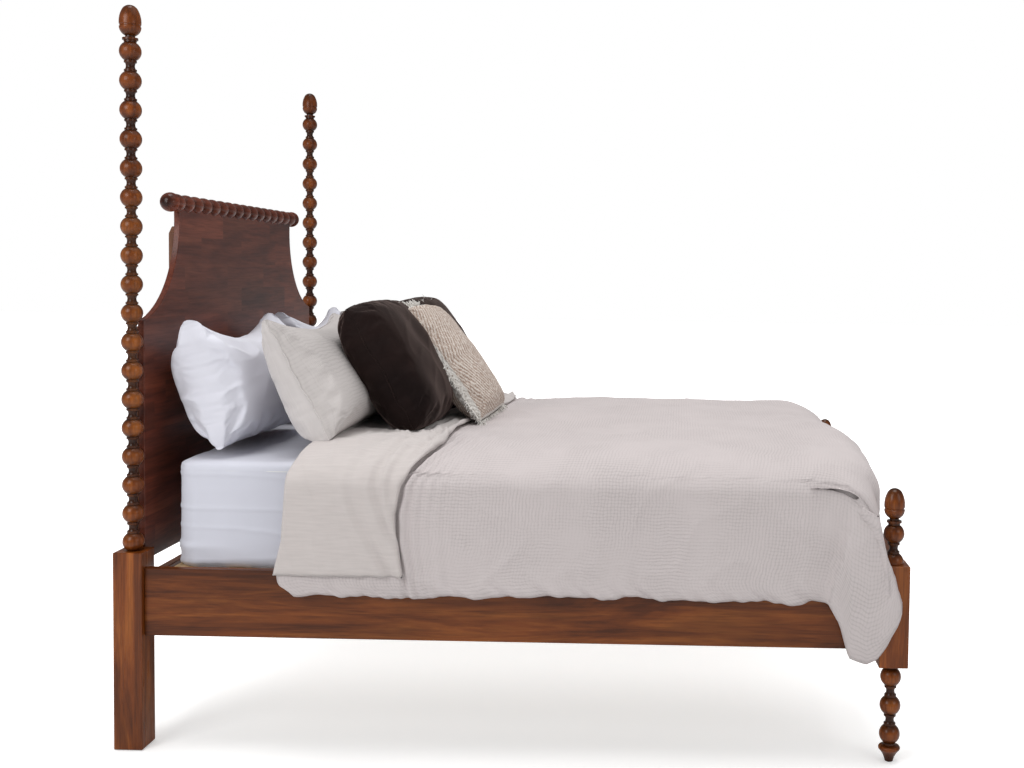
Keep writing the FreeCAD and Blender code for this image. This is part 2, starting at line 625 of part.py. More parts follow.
panel = new_body("headboard_panel_wood", f"panel_thick / 2 - {PANEL_BACK}")
panel_board = pad(panel, "YZ_Plane", [
    (f"-{PANEL_SIDE}", "panel_bottom"), (PANEL_SIDE, "panel_bottom"),
    (PANEL_SIDE, "panel_shoulder"),
    ("panel_half_top", "panel_curve_top", "panel_curve", -1),
    ("panel_half_top", "panel_top"), ("-panel_half_top", "panel_top"),
    ("-panel_half_top", "panel_curve_top"),
    (f"-{PANEL_SIDE}", "panel_shoulder", "panel_curve", -1)], "panel_thick")
break_edges(panel, panel_board, "panel_arris")
panel_screws = [item for row in (batten_screws, stile_screws)
                for side, _ in RIGHT_LEFT for item in row[side]]
node("headboard_panel", cut(panel, group(panel_screws)))

for side, sign in RIGHT_LEFT:
    batten = new_body(f"headboard_batten_{side}_wood", f"-{PANEL_BACK} - back_thick / 2")
    outer, inner = f"{sign} * {BATTEN_OUT}", f"{sign} * ({BATTEN_OUT} - batten_wide)"
    clipped = f"{sign} * ({BATTEN_OUT} - batten_clip)"
    batten_board = pad(batten, "YZ_Plane", [
        (inner, "panel_bottom"), (outer, "panel_bottom"), (outer, "batten_top - batten_clip"),
        (clipped, "batten_top"), (inner, "batten_top")], "back_thick")
    break_edges(batten, batten_board, "block_arris")
    node(f"headboard_batten_{side}", cut(batten, group(batten_screws[side])))

    stile = new_body(f"headboard_stile_{side}_wood")
    stile_y = sorted((f"{sign} * {INNER_Y}", f"{sign} * ({INNER_Y} - stile_wide)"), key=number_of)
    stile_board = block(stile, (f"-{PANEL_BACK} - back_thick", f"-{PANEL_BACK}"), stile_y,
                        ("stile_foot", "stile_top"))
    break_edges(stile, stile_board, "block_arris")
    node(f"headboard_stile_{side}", cut(stile, group(stile_screws[side] + stile_foot_screws[side])))


def turn_roll():
    """The turned roll on the headboard: a row of touching beads, a larger one at each end.

    It is turned upright and then laid across the bed, with a groove for the panel's top."""
    body = new_body("headboard_roll", f"panel_thick / 2 - {PANEL_BACK}", "0", "roll_centre")
    body.Placement.Rotation = TURN_TO_Y
    half = "(roll_pitch / 2)"
    first = "(roll_pitch * (roll_beads - 1) / 2)"
    low, high = f"({first} - {half})", f"({first} + {half})"
    drop = "(roll_bead_curve - roll_radius + roll_neck_radius)"
    neck = f"({half} - sqrt(roll_bead_curve ^ 2 - {drop} ^ 2))"
    bead = turn(body, [("0", low), ("roll_neck_radius", low), ("roll_neck_radius", f"{low} + {neck}"),
                       ("roll_neck_radius", f"{high} - {neck}", "roll_bead_curve", 1),
                       ("roll_neck_radius", high), ("0", high)])
    repeat(body, bead, "Z_Axis", "roll_beads", "roll_pitch", backwards=True)
    ball_middle = f"({high} + roll_end_out)"
    for facing in (1, -1):
        root = f"{facing} * ({high} - {neck})"
        turn(body, [("0", root), ("roll_neck_radius", root),
                    ("roll_end_radius", f"{facing} * {ball_middle}"),
                    ("0", f"{facing} * ({ball_middle} + roll_end_radius)", "roll_end_radius", facing)])
    block(body, ("-panel_thick / 2", "panel_thick / 2"), ("roll_centre - panel_top", "2 * roll_radius"),
          ("-panel_half_top", "panel_half_top"), cut=True)
    return node("headboard_roll", body)


turn_roll()


# ---------------------------------------------------------------- mattress and bedding

def rounded(half_across, half_up, radius):
    """A rectangle about the sketch's origin with four round corners."""
    a, b, r = f"({half_across})", f"({half_up})", f"({radius})"
    return [(f"{a} - {r}", f"-{b}"), (a, f"{r} - {b}", r, 1), (a, f"{b} - {r}"), (f"{a} - {r}", b, r, 1),
            (f"{r} - {a}", b), (f"-{a}", f"{b} - {r}", r, 1), (f"-{a}", f"{r} - {b}"),
            (f"{r} - {a}", f"-{b}", r, 1)]


def bulk(body, grown, low, high):
    """A block of the mattress's plan, larger all round by an amount, between two heights."""
    way = rounded(f"({MATTRESS_FOOT} - {MATTRESS_HEAD}) / 2 + {grown}", f"{MATTRESS_SIDE} + {grown}",
                  f"mattress_corner + {grown}")
    sketch = outline(body, "XY_Plane", way, offset=low)
    feature = body.newObject("PartDesign::Pad", "Bulk")
    feature.Profile = sketch
    bind(feature, "Length", f"({high}) - ({low})")
    return feature


def round_rim(body, feature, height, radius):
    """A round on the rim of the solid at one height."""
    doc.recompute()
    level = number_of(height)
    near = 0.01
    rim = [f"Edge{index + 1}" for index, edge in enumerate(feature.Shape.Edges)
           if abs(edge.BoundBox.ZMin - level) < near and abs(edge.BoundBox.ZMax - level) < near]
    fillet = body.newObject("PartDesign::Fillet", "Rim")
    fillet.Base = (feature, rim)
    bind(fillet, "Radius", radius)
    return fillet


mattress_middle = f"({MATTRESS_HEAD} + {MATTRESS_FOOT}) / 2"
mattress_top = "(slat_top + mattress_tall)"
mattress = new_body("mattress", mattress_middle)
core = bulk(mattress, "0", "slat_top", mattress_top)
rounded_core = round_rim(mattress, core, mattress_top, "mattress_edge")
round_rim(mattress, rounded_core, "slat_top", "mattress_edge")
node("mattress", mattress)

sheet_top = f"({mattress_top} + soft_gap + sheet_thick)"
stretched = new_body("stretched_sheet", mattress_middle)
skin = bulk(stretched, "soft_gap + sheet_thick", "slat_top + sheet_open", sheet_top)
round_rim(stretched, skin, sheet_top, "mattress_edge + soft_gap + sheet_thick")
filling = new_body("space_in_sheet", mattress_middle)
hollow = bulk(filling, "soft_gap", "slat_top", f"{mattress_top} + soft_gap")
round_rim(filling, hollow, f"{mattress_top} + soft_gap", "mattress_edge + soft_gap")
node("fitted_sheet", cut(stretched, filling))

HANG_IN = "(bed_wide / 2 + block_side / 2 + hang_clear)"
HANG_OUT = "(bed_wide / 2 + block_side / 2 + hang_clear + duvet_hang)"
BED_SIDE = f"({MATTRESS_SIDE} + 2 * soft_gap + sheet_thick)"
BED_TOP = f"({sheet_top} + soft_gap)"
DUVET_TOP = f"({BED_TOP} + duvet_thick)"
DUVET_HEAD_X = "(duvet_head - bed_long / 2)"
DUVET_FOOT_X = f"({MATTRESS_FOOT} + soft_gap + sheet_thick)"


def drape(body, start, end, proud, thick, hem):
    """Cloth over the bed from one X to another: a top with round edges and two hanging sides."""
    out, top = f"({HANG_OUT} + {proud})", f"({BED_TOP} + {thick})"
    edge = "duvet_edge"
    way = [(f"-{out}", f"{top} - {edge}"), (f"{edge} - {out}", top, edge, -1), (f"{out} - {edge}", top),
           (out, f"{top} - {edge}", edge, -1), (out, hem), (HANG_IN, hem), (HANG_IN, "duvet_step"),
           (BED_SIDE, "duvet_step"), (BED_SIDE, BED_TOP), (f"-{BED_SIDE}", BED_TOP),
           (f"-{BED_SIDE}", "duvet_step"), (f"-{HANG_IN}", "duvet_step"),
           (f"-{HANG_IN}", hem), (f"-{out}", hem)]
    return pad(body, "YZ_Plane", way, f"({end}) - ({start})", offset=f"(({start}) + ({end})) / 2")


duvet = new_body("duvet")
CUFF_END_X = f"({DUVET_HEAD_X} + cuff_long)"
drape(duvet, CUFF_END_X, f"{DUVET_FOOT_X} + soft_gap", "0", "duvet_thick", "duvet_hem")
drape(duvet, DUVET_HEAD_X, f"{CUFF_END_X} + duvet_hang", "0", "cuff_thick", "duvet_hem")
drape(duvet, DUVET_HEAD_X, CUFF_END_X, "cuff_proud", "cuff_thick", "cuff_hem")
tuck_near = f"({DUVET_FOOT_X} + soft_gap)"
tuck_far = f"({tuck_near} + foot_tuck_thick)"
tuck_half = f"({INNER_Y} - foot_tuck_clear)"
tuck_top = f"({DUVET_TOP} - duvet_thick / 4)"
block(duvet, (f"{DUVET_FOOT_X} - duvet_edge", tuck_far), (f"-{tuck_half}", tuck_half), (BED_TOP, tuck_top))
block(duvet, (tuck_near, tuck_far), (f"-{tuck_half}", tuck_half), ("foot_tuck_low", tuck_top))

# The top falls away to the foot and rounds over it.
slope_start = f"({DUVET_FOOT_X} - foot_slope_long)"
slope_end = f"({DUVET_TOP} - foot_slope_drop)"
falling = outline(duvet, "XZ_Plane", [
    (slope_start, DUVET_TOP), (f"{tuck_far} - foot_round", slope_end),
    (tuck_far, f"{slope_end} - foot_round", "foot_round", -1),
    (f"{tuck_far} + duvet_edge", f"{slope_end} - foot_round"),
    (f"{tuck_far} + duvet_edge", f"{DUVET_TOP} + duvet_edge"),
    (slope_start, f"{DUVET_TOP} + duvet_edge")])
round_over = duvet.newObject("PartDesign::Pocket", "RoundOver")
round_over.Profile = falling
round_over.SideType = "Symmetric"
bind(round_over, "Length", f"2 * {HANG_OUT} + duvet_edge")

# At each foot corner the side hangs outside the post and ends in a low tip.
corner_back = f"({DUVET_FOOT_X} - corner_from)"
corner_front = f"({DUVET_FOOT_X} + corner_reach)"
corner_tip = f"({DUVET_FOOT_X} - corner_tip_back)"
hang_mid = f"(({HANG_IN} + {HANG_OUT}) / 2)"
for facing in (1, -1):
    pad(duvet, "XZ_Plane", [
        (corner_back, "duvet_hem"), (f"{corner_tip} - corner_tip_wide", "corner_tip_low + corner_fold"),
        (corner_tip, "corner_tip_low"), (f"{corner_tip} + corner_fold", "corner_tip_low + corner_fold"),
        (corner_front, "duvet_hem + corner_fold"),
        (f"{corner_front} - corner_fold", "duvet_hem + corner_swell"),
        (DUVET_FOOT_X, "corner_top - corner_fold"), (corner_back, "corner_top")],
        "duvet_hang", offset=f"{facing} * {hang_mid}")
node("duvet", duvet)


def pillow(label, kind, from_head, aside, floor):
    """A cushion on edge, leaning back: crowned faces lofted out from its seam.

    It stands on the bed at a height, its lowest point just clear of what it rests on."""
    body = new_body(label, f"{from_head} - bed_long / 2", aside)
    half_wide, half_tall, thick = f"{kind}_wide / 2", f"{kind}_tall / 2", f"{kind}_thick"
    rings = []
    for share, level in (("pillow_face", f"-{thick} / 2"), ("1", "0"), ("pillow_face", f"{thick} / 2")):
        ring = rounded(f"{half_wide} * {share}", f"{half_tall} * {share}", "pillow_corner")
        rings.append(outline(body, "YZ_Plane", ring, offset=level))
    loft = body.newObject("PartDesign::AdditiveLoft", "Cushion")
    loft.Profile = rings[0]
    loft.Sections = rings[1:]
    body.Placement.Rotation = FreeCAD.Rotation(FreeCAD.Vector(0, 1, 0), -number_of(f"{kind}_lean"))
    doc.recompute()
    lowest = body.Shape.optimalBoundingBox().ZMin
    put(body, f"{from_head} - bed_long / 2", aside, f"{floor} + soft_gap - ({lowest})")
    return node(label, body)


# The two pairs at the back stand on the sheet and the turned-down flap, the rest on the duvet.
cuff_top = f"({BED_TOP} + cuff_thick)"
for side, sign in RIGHT_LEFT:
    pillow(f"sleeping_pillow_{side}", "sleeping", "sleeping_from_head", f"{sign} * sleeping_aside", sheet_top)
    pillow(f"sham_pillow_{side}", "sham", "sham_from_head", f"{sign} * sham_aside", cuff_top)
    pillow(f"velvet_pillow_{side}", "velvet", "velvet_from_head", f"{sign} * velvet_aside", cuff_top)
pillow("accent_pillow", "accent", "accent_from_head", "0", DUVET_TOP)


# ---------------------------------------------------------------- checks and files

doc.recompute()
failed = [thing.Name for thing in doc.Objects if {"Invalid", "Error"} & set(thing.State)]
if failed:
    raise RuntimeError(f"these objects failed: {failed}")
for label, thing in nodes.items():
    if thing.Shape.isNull() or not thing.Shape.isValid():
        raise RuntimeError(f"{label} has no valid shape")

os.makedirs("parts", exist_ok=True)
for label, thing in nodes.items():
    thing.Shape.exportStep(f"parts/{label}.step")
    bounds = thing.Shape.BoundBox
    print(f"{label}: {len(thing.Shape.Solids)} solids, {thing.Shape.Volume / 1e6:.2f} litres, "
          f"x {bounds.XMin:.1f}..{bounds.XMax:.1f} y {bounds.YMin:.1f}..{bounds.YMax:.1f} "
          f"z {bounds.ZMin:.1f}..{bounds.ZMax:.1f}")
print(f"{len(nodes)} nodes")
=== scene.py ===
import math

import bmesh
import bpy
import numpy as np
from mathutils import Matrix, Vector


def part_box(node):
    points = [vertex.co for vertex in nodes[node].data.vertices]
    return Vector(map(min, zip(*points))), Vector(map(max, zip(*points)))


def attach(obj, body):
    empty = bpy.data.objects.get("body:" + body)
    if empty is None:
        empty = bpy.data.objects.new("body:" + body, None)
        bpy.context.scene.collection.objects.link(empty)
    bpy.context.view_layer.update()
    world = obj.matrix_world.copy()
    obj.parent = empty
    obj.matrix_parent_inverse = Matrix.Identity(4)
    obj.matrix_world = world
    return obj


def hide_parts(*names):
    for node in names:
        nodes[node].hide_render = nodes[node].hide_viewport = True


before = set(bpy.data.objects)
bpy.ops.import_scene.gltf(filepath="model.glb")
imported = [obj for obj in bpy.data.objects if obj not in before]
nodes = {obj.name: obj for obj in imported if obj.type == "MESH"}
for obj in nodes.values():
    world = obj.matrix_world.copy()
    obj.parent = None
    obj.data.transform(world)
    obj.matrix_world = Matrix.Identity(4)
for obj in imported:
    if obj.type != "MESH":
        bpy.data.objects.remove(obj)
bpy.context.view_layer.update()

# ---------------------------------------------------------------- the view
# The bed is seen from its right side, from four metres off and at eye height. The picture is
# cropped to the left of the lens's axis, so the film is shifted and not the camera turned.
IMAGE_WIDE, IMAGE_TALL = 1024, 768
LENS_PX = 1157.83
LENS_AXIS_PX = (661.02, 328.77)
CAMERA_AT = (0.46774, -4.04936, 1.37551)
CAMERA_TURN, CAMERA_DIP, CAMERA_TILT = 0.015619, 0.045929, -0.014343
FILM_WIDE = 36.0


def stand(name, data, at=Matrix()):
    """A new object with the data, in the scene at a place."""
    made = bpy.data.objects.new(name, data)
    made.matrix_world = at
    bpy.context.scene.collection.objects.link(made)
    return made


lens = bpy.data.cameras.new("view")
lens.sensor_width = FILM_WIDE
lens.lens = LENS_PX * FILM_WIDE / IMAGE_WIDE
lens.shift_x = (IMAGE_WIDE / 2 - LENS_AXIS_PX[0]) / IMAGE_WIDE
lens.shift_y = (LENS_AXIS_PX[1] - IMAGE_TALL / 2) / IMAGE_WIDE
lens.clip_end = 200
bpy.context.scene.camera = stand("view", lens, (
    Matrix.Translation(CAMERA_AT) @ Matrix.Rotation(CAMERA_TURN, 4, "Z")
    @ Matrix.Rotation(-CAMERA_DIP, 4, "X") @ Matrix.Rotation(CAMERA_TILT, 4, "Y")
    @ Matrix.Rotation(math.pi / 2, 4, "X")))
bpy.context.scene.view_settings.view_transform = "Standard"


# ---------------------------------------------------------------- the studio
# A white sweep of paper under and behind the bed. It lies under a wide soft skylight, with a
# bright wall behind, and large lamps on the camera's side that show as highlights in the wood.
PAPER_HALF = 30.0
PAPER_COLOUR = (0.80, 0.80, 0.80, 1)
# The paper's glow to the camera rises from front to back, as y and strength: its fall paints shade on the
# floor under the bed's near side.
PAPER_GLOW_AND_SHADE = ((-0.85, 0.36), (0.05, 0.80))
ROOM_FRONT, ROOM_BACK, ROOM_MIRRORED = 0.36, 0.95, 0.22
SKYLIGHT, SKYLIGHT_SOFT = 1.05, 0.5
LAMPS = {"head_lamp": ((-2.4, -3.6, 2.9), 1.9, 62.0), "foot_lamp": ((3.4, -3.0, 2.2), 1.6, 20.0),
         "top_lamp": ((0.4, -0.6, 4.2), 2.6, 16.0)}
LAMPS_AIM = (0.0, 0.0, 0.7)


def shader_tree(name):
    """A new material, its node tree and its surface shader."""
    made = bpy.data.materials.new(name)
    made.use_nodes = True
    return made, made.node_tree, made.node_tree.nodes["Principled BSDF"]


def plug(tree, node, inputs):
    """Puts numbers, or other nodes' outputs, on a node's sockets."""
    for socket, value in inputs.items():
        if isinstance(value, bpy.types.NodeSocket):
            tree.links.new(value, node.inputs[socket])
        else:
            node.inputs[socket].default_value = value


def add(tree, kind, inputs, output=0, **settings):
    """One output of a new node of the kind, with these inputs and settings."""
    made = tree.nodes.new("ShaderNode" + kind)
    for key, value in settings.items():
        setattr(made, key, value)
    plug(tree, made, inputs)
    return made.outputs[output]


def maths(tree, operation, *values):
    """Arithmetic on numbers or outputs."""
    return add(tree, "Math", dict(enumerate(values)), operation=operation)


def spread(tree, value, low, high, new_low, new_high, how="LINEAR"):
    """A number carried from one range to another, and held inside it."""
    return add(tree, "MapRange", {0: value, 1: low, 2: high, 3: new_low, 4: new_high},
               interpolation_type=how)


def mixed(tree, share, low, high):
    """A number between two, by a share."""
    return add(tree, "Mix", {0: share, 2: low, 3: high})


def axes(tree, place):
    """The three coordinates of a place."""
    return add(tree, "SeparateXYZ", {0: place}).node.outputs


def object_place(tree):
    """The place in the object's own frame."""
    return add(tree, "TexCoord", {}, "Object")


def seen_directly(tree):
    """One for rays from the camera and through glass, otherwise zero."""
    path = add(tree, "LightPath", {}).node.outputs
    return maths(tree, "MAXIMUM", path["Is Camera Ray"], path["Is Transmission Ray"])


def paper_finish():
    """White paper that glows a little to the camera, less towards its front: the glow keeps it white, and its
    fall towards the front paints shade under the bed's near side.
    """
    paper, tree, body = shader_tree("paper")
    (front, low), (back, high) = PAPER_GLOW_AND_SHADE
    glow_and_shade = spread(tree, axes(tree, object_place(tree))["Y"], front, back, low, high, "SMOOTHSTEP")
    plug(tree, body, {"Base Color": PAPER_COLOUR, "Roughness": 1.0, "Specular IOR Level": 0.0,
                      "Emission Color": (1, 1, 1, 1),
                      "Emission Strength": maths(tree, "MULTIPLY", seen_directly(tree), glow_and_shade)})
    return paper


def light_the_room():
    """The world is white to the camera, dim in mirror rays, and otherwise brighter behind."""
    world = bpy.data.worlds.new("room")
    bpy.context.scene.world = world
    world.use_nodes = True
    tree = world.node_tree
    behind = axes(tree, add(tree, "TexCoord", {}, "Generated"))["Y"]
    lit = mixed(tree, add(tree, "LightPath", {}, "Is Glossy Ray"),
                spread(tree, behind, -1.0, 1.0, ROOM_FRONT, ROOM_BACK), ROOM_MIRRORED)
    plug(tree, tree.nodes["Background"], {"Color": (1, 1, 1, 1),
                                          "Strength": mixed(tree, seen_directly(tree), lit, 1.0)})
    sky = bpy.data.lights.new("skylight", "SUN")
    sky.energy, sky.angle = SKYLIGHT, SKYLIGHT_SOFT
    stand("skylight", sky)
    for name, (place, side, watts) in LAMPS.items():
        lamp = bpy.data.lights.new(name, "AREA")
        lamp.size, lamp.energy = side, watts
        aim = (Vector(LAMPS_AIM) - Vector(place)).to_track_quat("-Z", "Y").to_matrix().to_4x4()
        stand(name, lamp, Matrix.Translation(place) @ aim)


floor_mesh = bpy.data.meshes.new("floor")
floor_mesh.from_pydata([(-PAPER_HALF, -PAPER_HALF, 0), (PAPER_HALF, -PAPER_HALF, 0),
                        (PAPER_HALF, PAPER_HALF, 0), (-PAPER_HALF, PAPER_HALF, 0)], [], [(0, 1, 2, 3)])
floor_mesh.materials.append(paper_finish())
stand("floor", floor_mesh)
light_the_room()


# ---------------------------------------------------------------- posts, finials and glides
# Four posts turned from solid wood in a row of round beads over a square block, each with an acorn
# finial dowelled in. The wood is darker in the necks between the beads and lighter on their crests:
# the stain gathered in the necks, and painted shade there.
POST_AXIS = (1.085, 0.790)
STAIN = ((0.078, 0.018, 0.003), (0.150, 0.037, 0.006), (0.250, 0.074, 0.013))
STAIN_STOPS = (0.36, 0.50, 0.66)
NECK_RADIUS, BEAD_RADIUS = 0.012, 0.028
# Painted shade with the stain gathered in the necks: the colour's share from the necks out to the beads'
# crests.
NECK_STAIN_AND_SHADE = [(0.0, 0.26), (0.45, 0.60), (0.9, 1.0), (1.0, 1.25)]
# How many to the metre, along and across the grain.
STREAKS, PORES, CLOUDS = (1.8, 20.0), (9.0, 190.0), (3.0, 9.0)


def noise(tree, place, scale, detail, output=0, **others):
    """Seamless noise over a place; others are more of its sockets."""
    return add(tree, "TexNoise", {0: place, "Scale": scale, "Detail": detail, **others}, output)


def bumps(tree, height, strength, distance):
    """The shading of a height that stands as far off as the distance."""
    return add(tree, "Bump", {"Strength": strength, "Distance": distance, "Height": height})


def ramp(tree, factor, stops):
    """Colour by a factor: stops are (place, colour or grey)."""
    made = add(tree, "ValToRGB", {0: factor})
    elements = made.node.color_ramp.elements
    while len(elements) < len(stops):
        elements.new(0.5)
    for element, (place, colour) in zip(elements, stops):
        element.position = place
        shade = colour if isinstance(colour, tuple) else (colour, colour, colour)
        element.color = (*shade, 1)
    return made


def times(tree, *colours):
    """Colours multiplied with each other."""
    product = colours[0]
    for colour in colours[1:]:
        product = add(tree, "Mix", {0: 1.0, 6: product, 7: colour}, 2, data_type="RGBA",
                      blend_type="MULTIPLY")
    return product


def stain_and_shade_in_necks(tree, centre, plane, mirrored):
    """Painted shade in a turned piece's necks, with the stain gathered there: darker near its own axis and
    lighter out on its beads, by distance from the axis in the plane across it.
    """
    place, legs = axes(tree, object_place(tree)), []
    for letter, middle in zip(plane, centre):
        value = maths(tree, "ABSOLUTE", place[letter]) if mirrored else place[letter]
        legs.append(maths(tree, "SUBTRACT", value, middle))
    flat = add(tree, "CombineXYZ", dict(enumerate(legs)))
    reach = add(tree, "VectorMath", {0: flat}, "Value", operation="LENGTH")
    return ramp(tree, spread(tree, reach, NECK_RADIUS, BEAD_RADIUS, 0.0, 1.0), NECK_STAIN_AND_SHADE)


def grain(tree, place, along, per_metre, detail, **others):
    """Noise drawn out along one axis."""
    scale = tuple(per_metre[axis != along] for axis in "XYZ")
    return noise(tree, add(tree, "Mapping", {0: place, "Scale": scale}), 1.0, detail, **others)


def wood_finish(name, along, tones=STAIN, neck_stain_and_shade=None, staves=None, gloss=0.36):
    """Close-grained wood, stained in three tones and lacquered.

    neck_stain_and_shade is for a turned piece, whose necks get painted shade and gathered stain: its axis,
    the plane across it and whether it is mirrored.
    Staves, given as (length, height), cut the board into glued strips along Y, each with its
    own tone and its own grain."""
    finish, tree, body = shader_tree(name)
    place = object_place(tree)
    if staves:
        board = add(tree, "CombineXYZ", dict(enumerate(axes(tree, place)[1:])))
        tone = add(tree, "TexBrick", {0: board, "Color1": (0, 0, 0, 1), "Color2": (1, 1, 1, 1),
                                      "Mortar": (0.5, 0.5, 0.5, 1), "Scale": 1.0, "Mortar Size": 0.0,
                                      "Brick Width": staves[0], "Row Height": staves[1]},
                   offset=0.37, squash=1.3, squash_frequency=3)
        own_grain = add(tree, "VectorMath", {0: tone, 1: (3.0, 5.0, 7.0)}, operation="MULTIPLY")
        place = add(tree, "VectorMath", {0: place, 1: own_grain}, operation="ADD")
    streaks = grain(tree, place, along, STREAKS, 6.0, Roughness=0.62, Distortion=0.9)
    pores = grain(tree, place, along, PORES, 3.0, Roughness=0.6)
    cloudy = grain(tree, place, along, CLOUDS, 4.0)
    shades = [ramp(tree, streaks, list(zip(STAIN_STOPS, tones))),
              ramp(tree, pores, [(0.35, 0.72), (0.55, 1.0)]),
              ramp(tree, cloudy, [(0.36, 0.80), (0.62, 1.10)])]
    # A turned piece gets painted shade in its necks, with the stain gathered there, and is lighter on its
    # crests.
    if neck_stain_and_shade:
        shades.append(stain_and_shade_in_necks(tree, *neck_stain_and_shade))
    if staves:
        shades.append(ramp(tree, tone, [(0.0, 0.84), (0.5, 1.0), (1.0, 1.16)]))
    plug(tree, body, {"Base Color": times(tree, *shades),
                      "Roughness": spread(tree, pores, 0.0, 1.0, gloss + 0.08, gloss - 0.04),
                      "Normal": bumps(tree, pores, 0.12, 0.0006), "Specular IOR Level": 0.25,
                      "Coat Weight": 0.08, "Coat Roughness": 0.16})
    return finish


def glide_finish():
    """Nearly black plastic with a fine grit."""
    finish, tree, body = shader_tree("glide_plastic")
    grit = noise(tree, object_place(tree), 900.0, 2.0)
    plug(tree, body, {"Base Color": (0.05, 0.04, 0.035, 1), "Roughness": 0.7,
                      "Normal": bumps(tree, grit, 0.1, 0.0003)})
    return finish


def dress(names, finish):
    """Gives each named piece of the frame its finish."""
    for name in names:
        mesh = nodes[name].data
        mesh.materials.clear()
        mesh.materials.append(finish)


CORNERS = [f"{end}_%s_{side}" for end in ("head", "foot") for side in ("right", "left")]
# Posts and finials: painted shade in the necks between the beads, with the stain gathered there.
turned_wood = wood_finish("turned_wood", "Z", neck_stain_and_shade=(POST_AXIS, "XY", True), gloss=0.27)
dress([corner % "post" for corner in CORNERS] + [corner % "finial" for corner in CORNERS], turned_wood)
dress([corner % "glide" for corner in CORNERS], glide_finish())


# ---------------------------------------------------------------- rails
# Two long side rails and a board at each end, planed from wide planks and stained like the
# posts. Wooden caps close the bolt holes on the posts' end faces.
dress(["side_rail_right", "side_rail_left"], wood_finish("rail_wood", "X"))
dress(["head_cross_rail", "foot_rail"], wood_finish("cross_rail_wood", "Y"))
dress(["bolt_caps"], wood_finish("cap_wood", "Z", (STAIN[0], STAIN[0], STAIN[1])))


# ---------------------------------------------------------------- headboard
# A panel of glued staves with two hollow shoulders, two battens and two stiles screwed on its
# back, and a turned roll of touching beads that sits on its top edge.
PANEL_STAIN = ((0.078, 0.017, 0.009), (0.124, 0.029, 0.015), (0.170, 0.045, 0.023))
BACK_STAIN = ((0.12, 0.045, 0.022), (0.20, 0.080, 0.040), (0.29, 0.13, 0.066))
STAVE_LONG, STAVE_TALL = 0.34, 0.082
roll_low, roll_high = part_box("headboard_roll")
ROLL_AXIS = ((roll_low[0] + roll_high[0]) / 2, (roll_low[2] + roll_high[2]) / 2)

dress(["headboard_panel"],
      wood_finish("panel_wood", "Y", PANEL_STAIN, staves=(STAVE_LONG, STAVE_TALL), gloss=0.34))
dress(["headboard_batten_right", "headboard_batten_left", "headboard_stile_right", "headboard_stile_left"],
      wood_finish("back_wood", "Z", BACK_STAIN))
# The roll is painted darker between its beads, as shade, with the stain gathered there.
dress(["headboard_roll"],
      wood_finish("roll_wood", "Y", PANEL_STAIN, neck_stain_and_shade=(ROLL_AXIS, "XZ", False), gloss=0.26))


# ---------------------------------------------------------------- slats, cleats, beam and steel
# Bare softwood slats lie on cleats inside the rails, over a beam that hangs in two black steel
# hangers. The screws and bolts are zinc plated.
PINE = ((0.42, 0.26, 0.13), (0.56, 0.38, 0.21), (0.66, 0.48, 0.29))


def steel_finish(name, colour, metallic, rough):
    """Plated or painted steel with a faint unevenness in its gloss."""
    finish, tree, body = shader_tree(name)
    uneven = noise(tree, object_place(tree), 260.0, 3.0)
    plug(tree, body, {"Base Color": (*colour, 1), "Metallic": metallic,
                      "Roughness": spread(tree, uneven, 0.0, 1.0, rough - 0.06, rough + 0.06)})
    return finish


slats = sorted(name for name in nodes if name.startswith("slat_") and name[5:].isdigit())
dress(slats, wood_finish("slat_wood", "Y", PINE, gloss=0.6))
dress(["slat_cleat_right", "slat_cleat_left", "centre_beam"], wood_finish("cleat_wood", "X", PINE, gloss=0.6))
dress(["cleat_screws", "slat_screws", "headboard_screws", "hanger_screws", "rail_bolts", "rail_washers",
       "rail_barrel_nuts"], steel_finish("zinc", (0.62, 0.62, 0.60), 1.0, 0.34))
dress(["beam_hanger_head", "beam_hanger_foot"], steel_finish("black_powder", (0.02, 0.02, 0.022), 0.0, 0.5))


# ---------------------------------------------------------------- mattress
# A spring mattress with a woven ticking: nearly all of it is inside the sheet, and its
# underside shows between the slats. A piped seam runs round its upper and lower rim.
BED_LOW, BED_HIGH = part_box("mattress")
BED_MIDDLE = (BED_LOW + BED_HIGH) / 2
BED_LONG, BED_WIDE = BED_HIGH[0] - BED_LOW[0], BED_HIGH[1] - BED_LOW[1]
BED_CORNER, BED_RIM = 0.060, 0.022
CORD_HIGH, CORD_WIDE, SIDE_SWELL = 0.003, 0.004, 0.003
# The foot end gives way above a height and past a place: how far down along its edge and at
# its corners, and how far back. The corners start at a place along and across the bed.
SINK_ABOVE, SINK_PAST, SINK_EDGE, SINK_CORNER, SINK_BACK = 0.60, 0.91, 0.095, 0.062, 0.012
CORNER_PAST, CORNER_OVER = (0.72, 0.42), (0.30, 0.32)


def squares(index):
    """Four-sided faces between neighbours in grids of point numbers."""
    return np.stack([index[..., :-1, :-1], index[..., :-1, 1:], index[..., 1:, 1:], index[..., 1:, :-1]],
                    -1).reshape(-1, 4)


def smooth_piece(name, points, faces, finish):
    """A smoothly shaded piece from its points and faces."""
    mesh = bpy.data.meshes.new(name)
    mesh.from_pydata(points.reshape(-1, 3).tolist(), [], faces.tolist())
    mesh.polygons.foreach_set("use_smooth", np.ones(len(faces), bool))
    mesh.materials.append(finish)
    return stand(name, mesh)


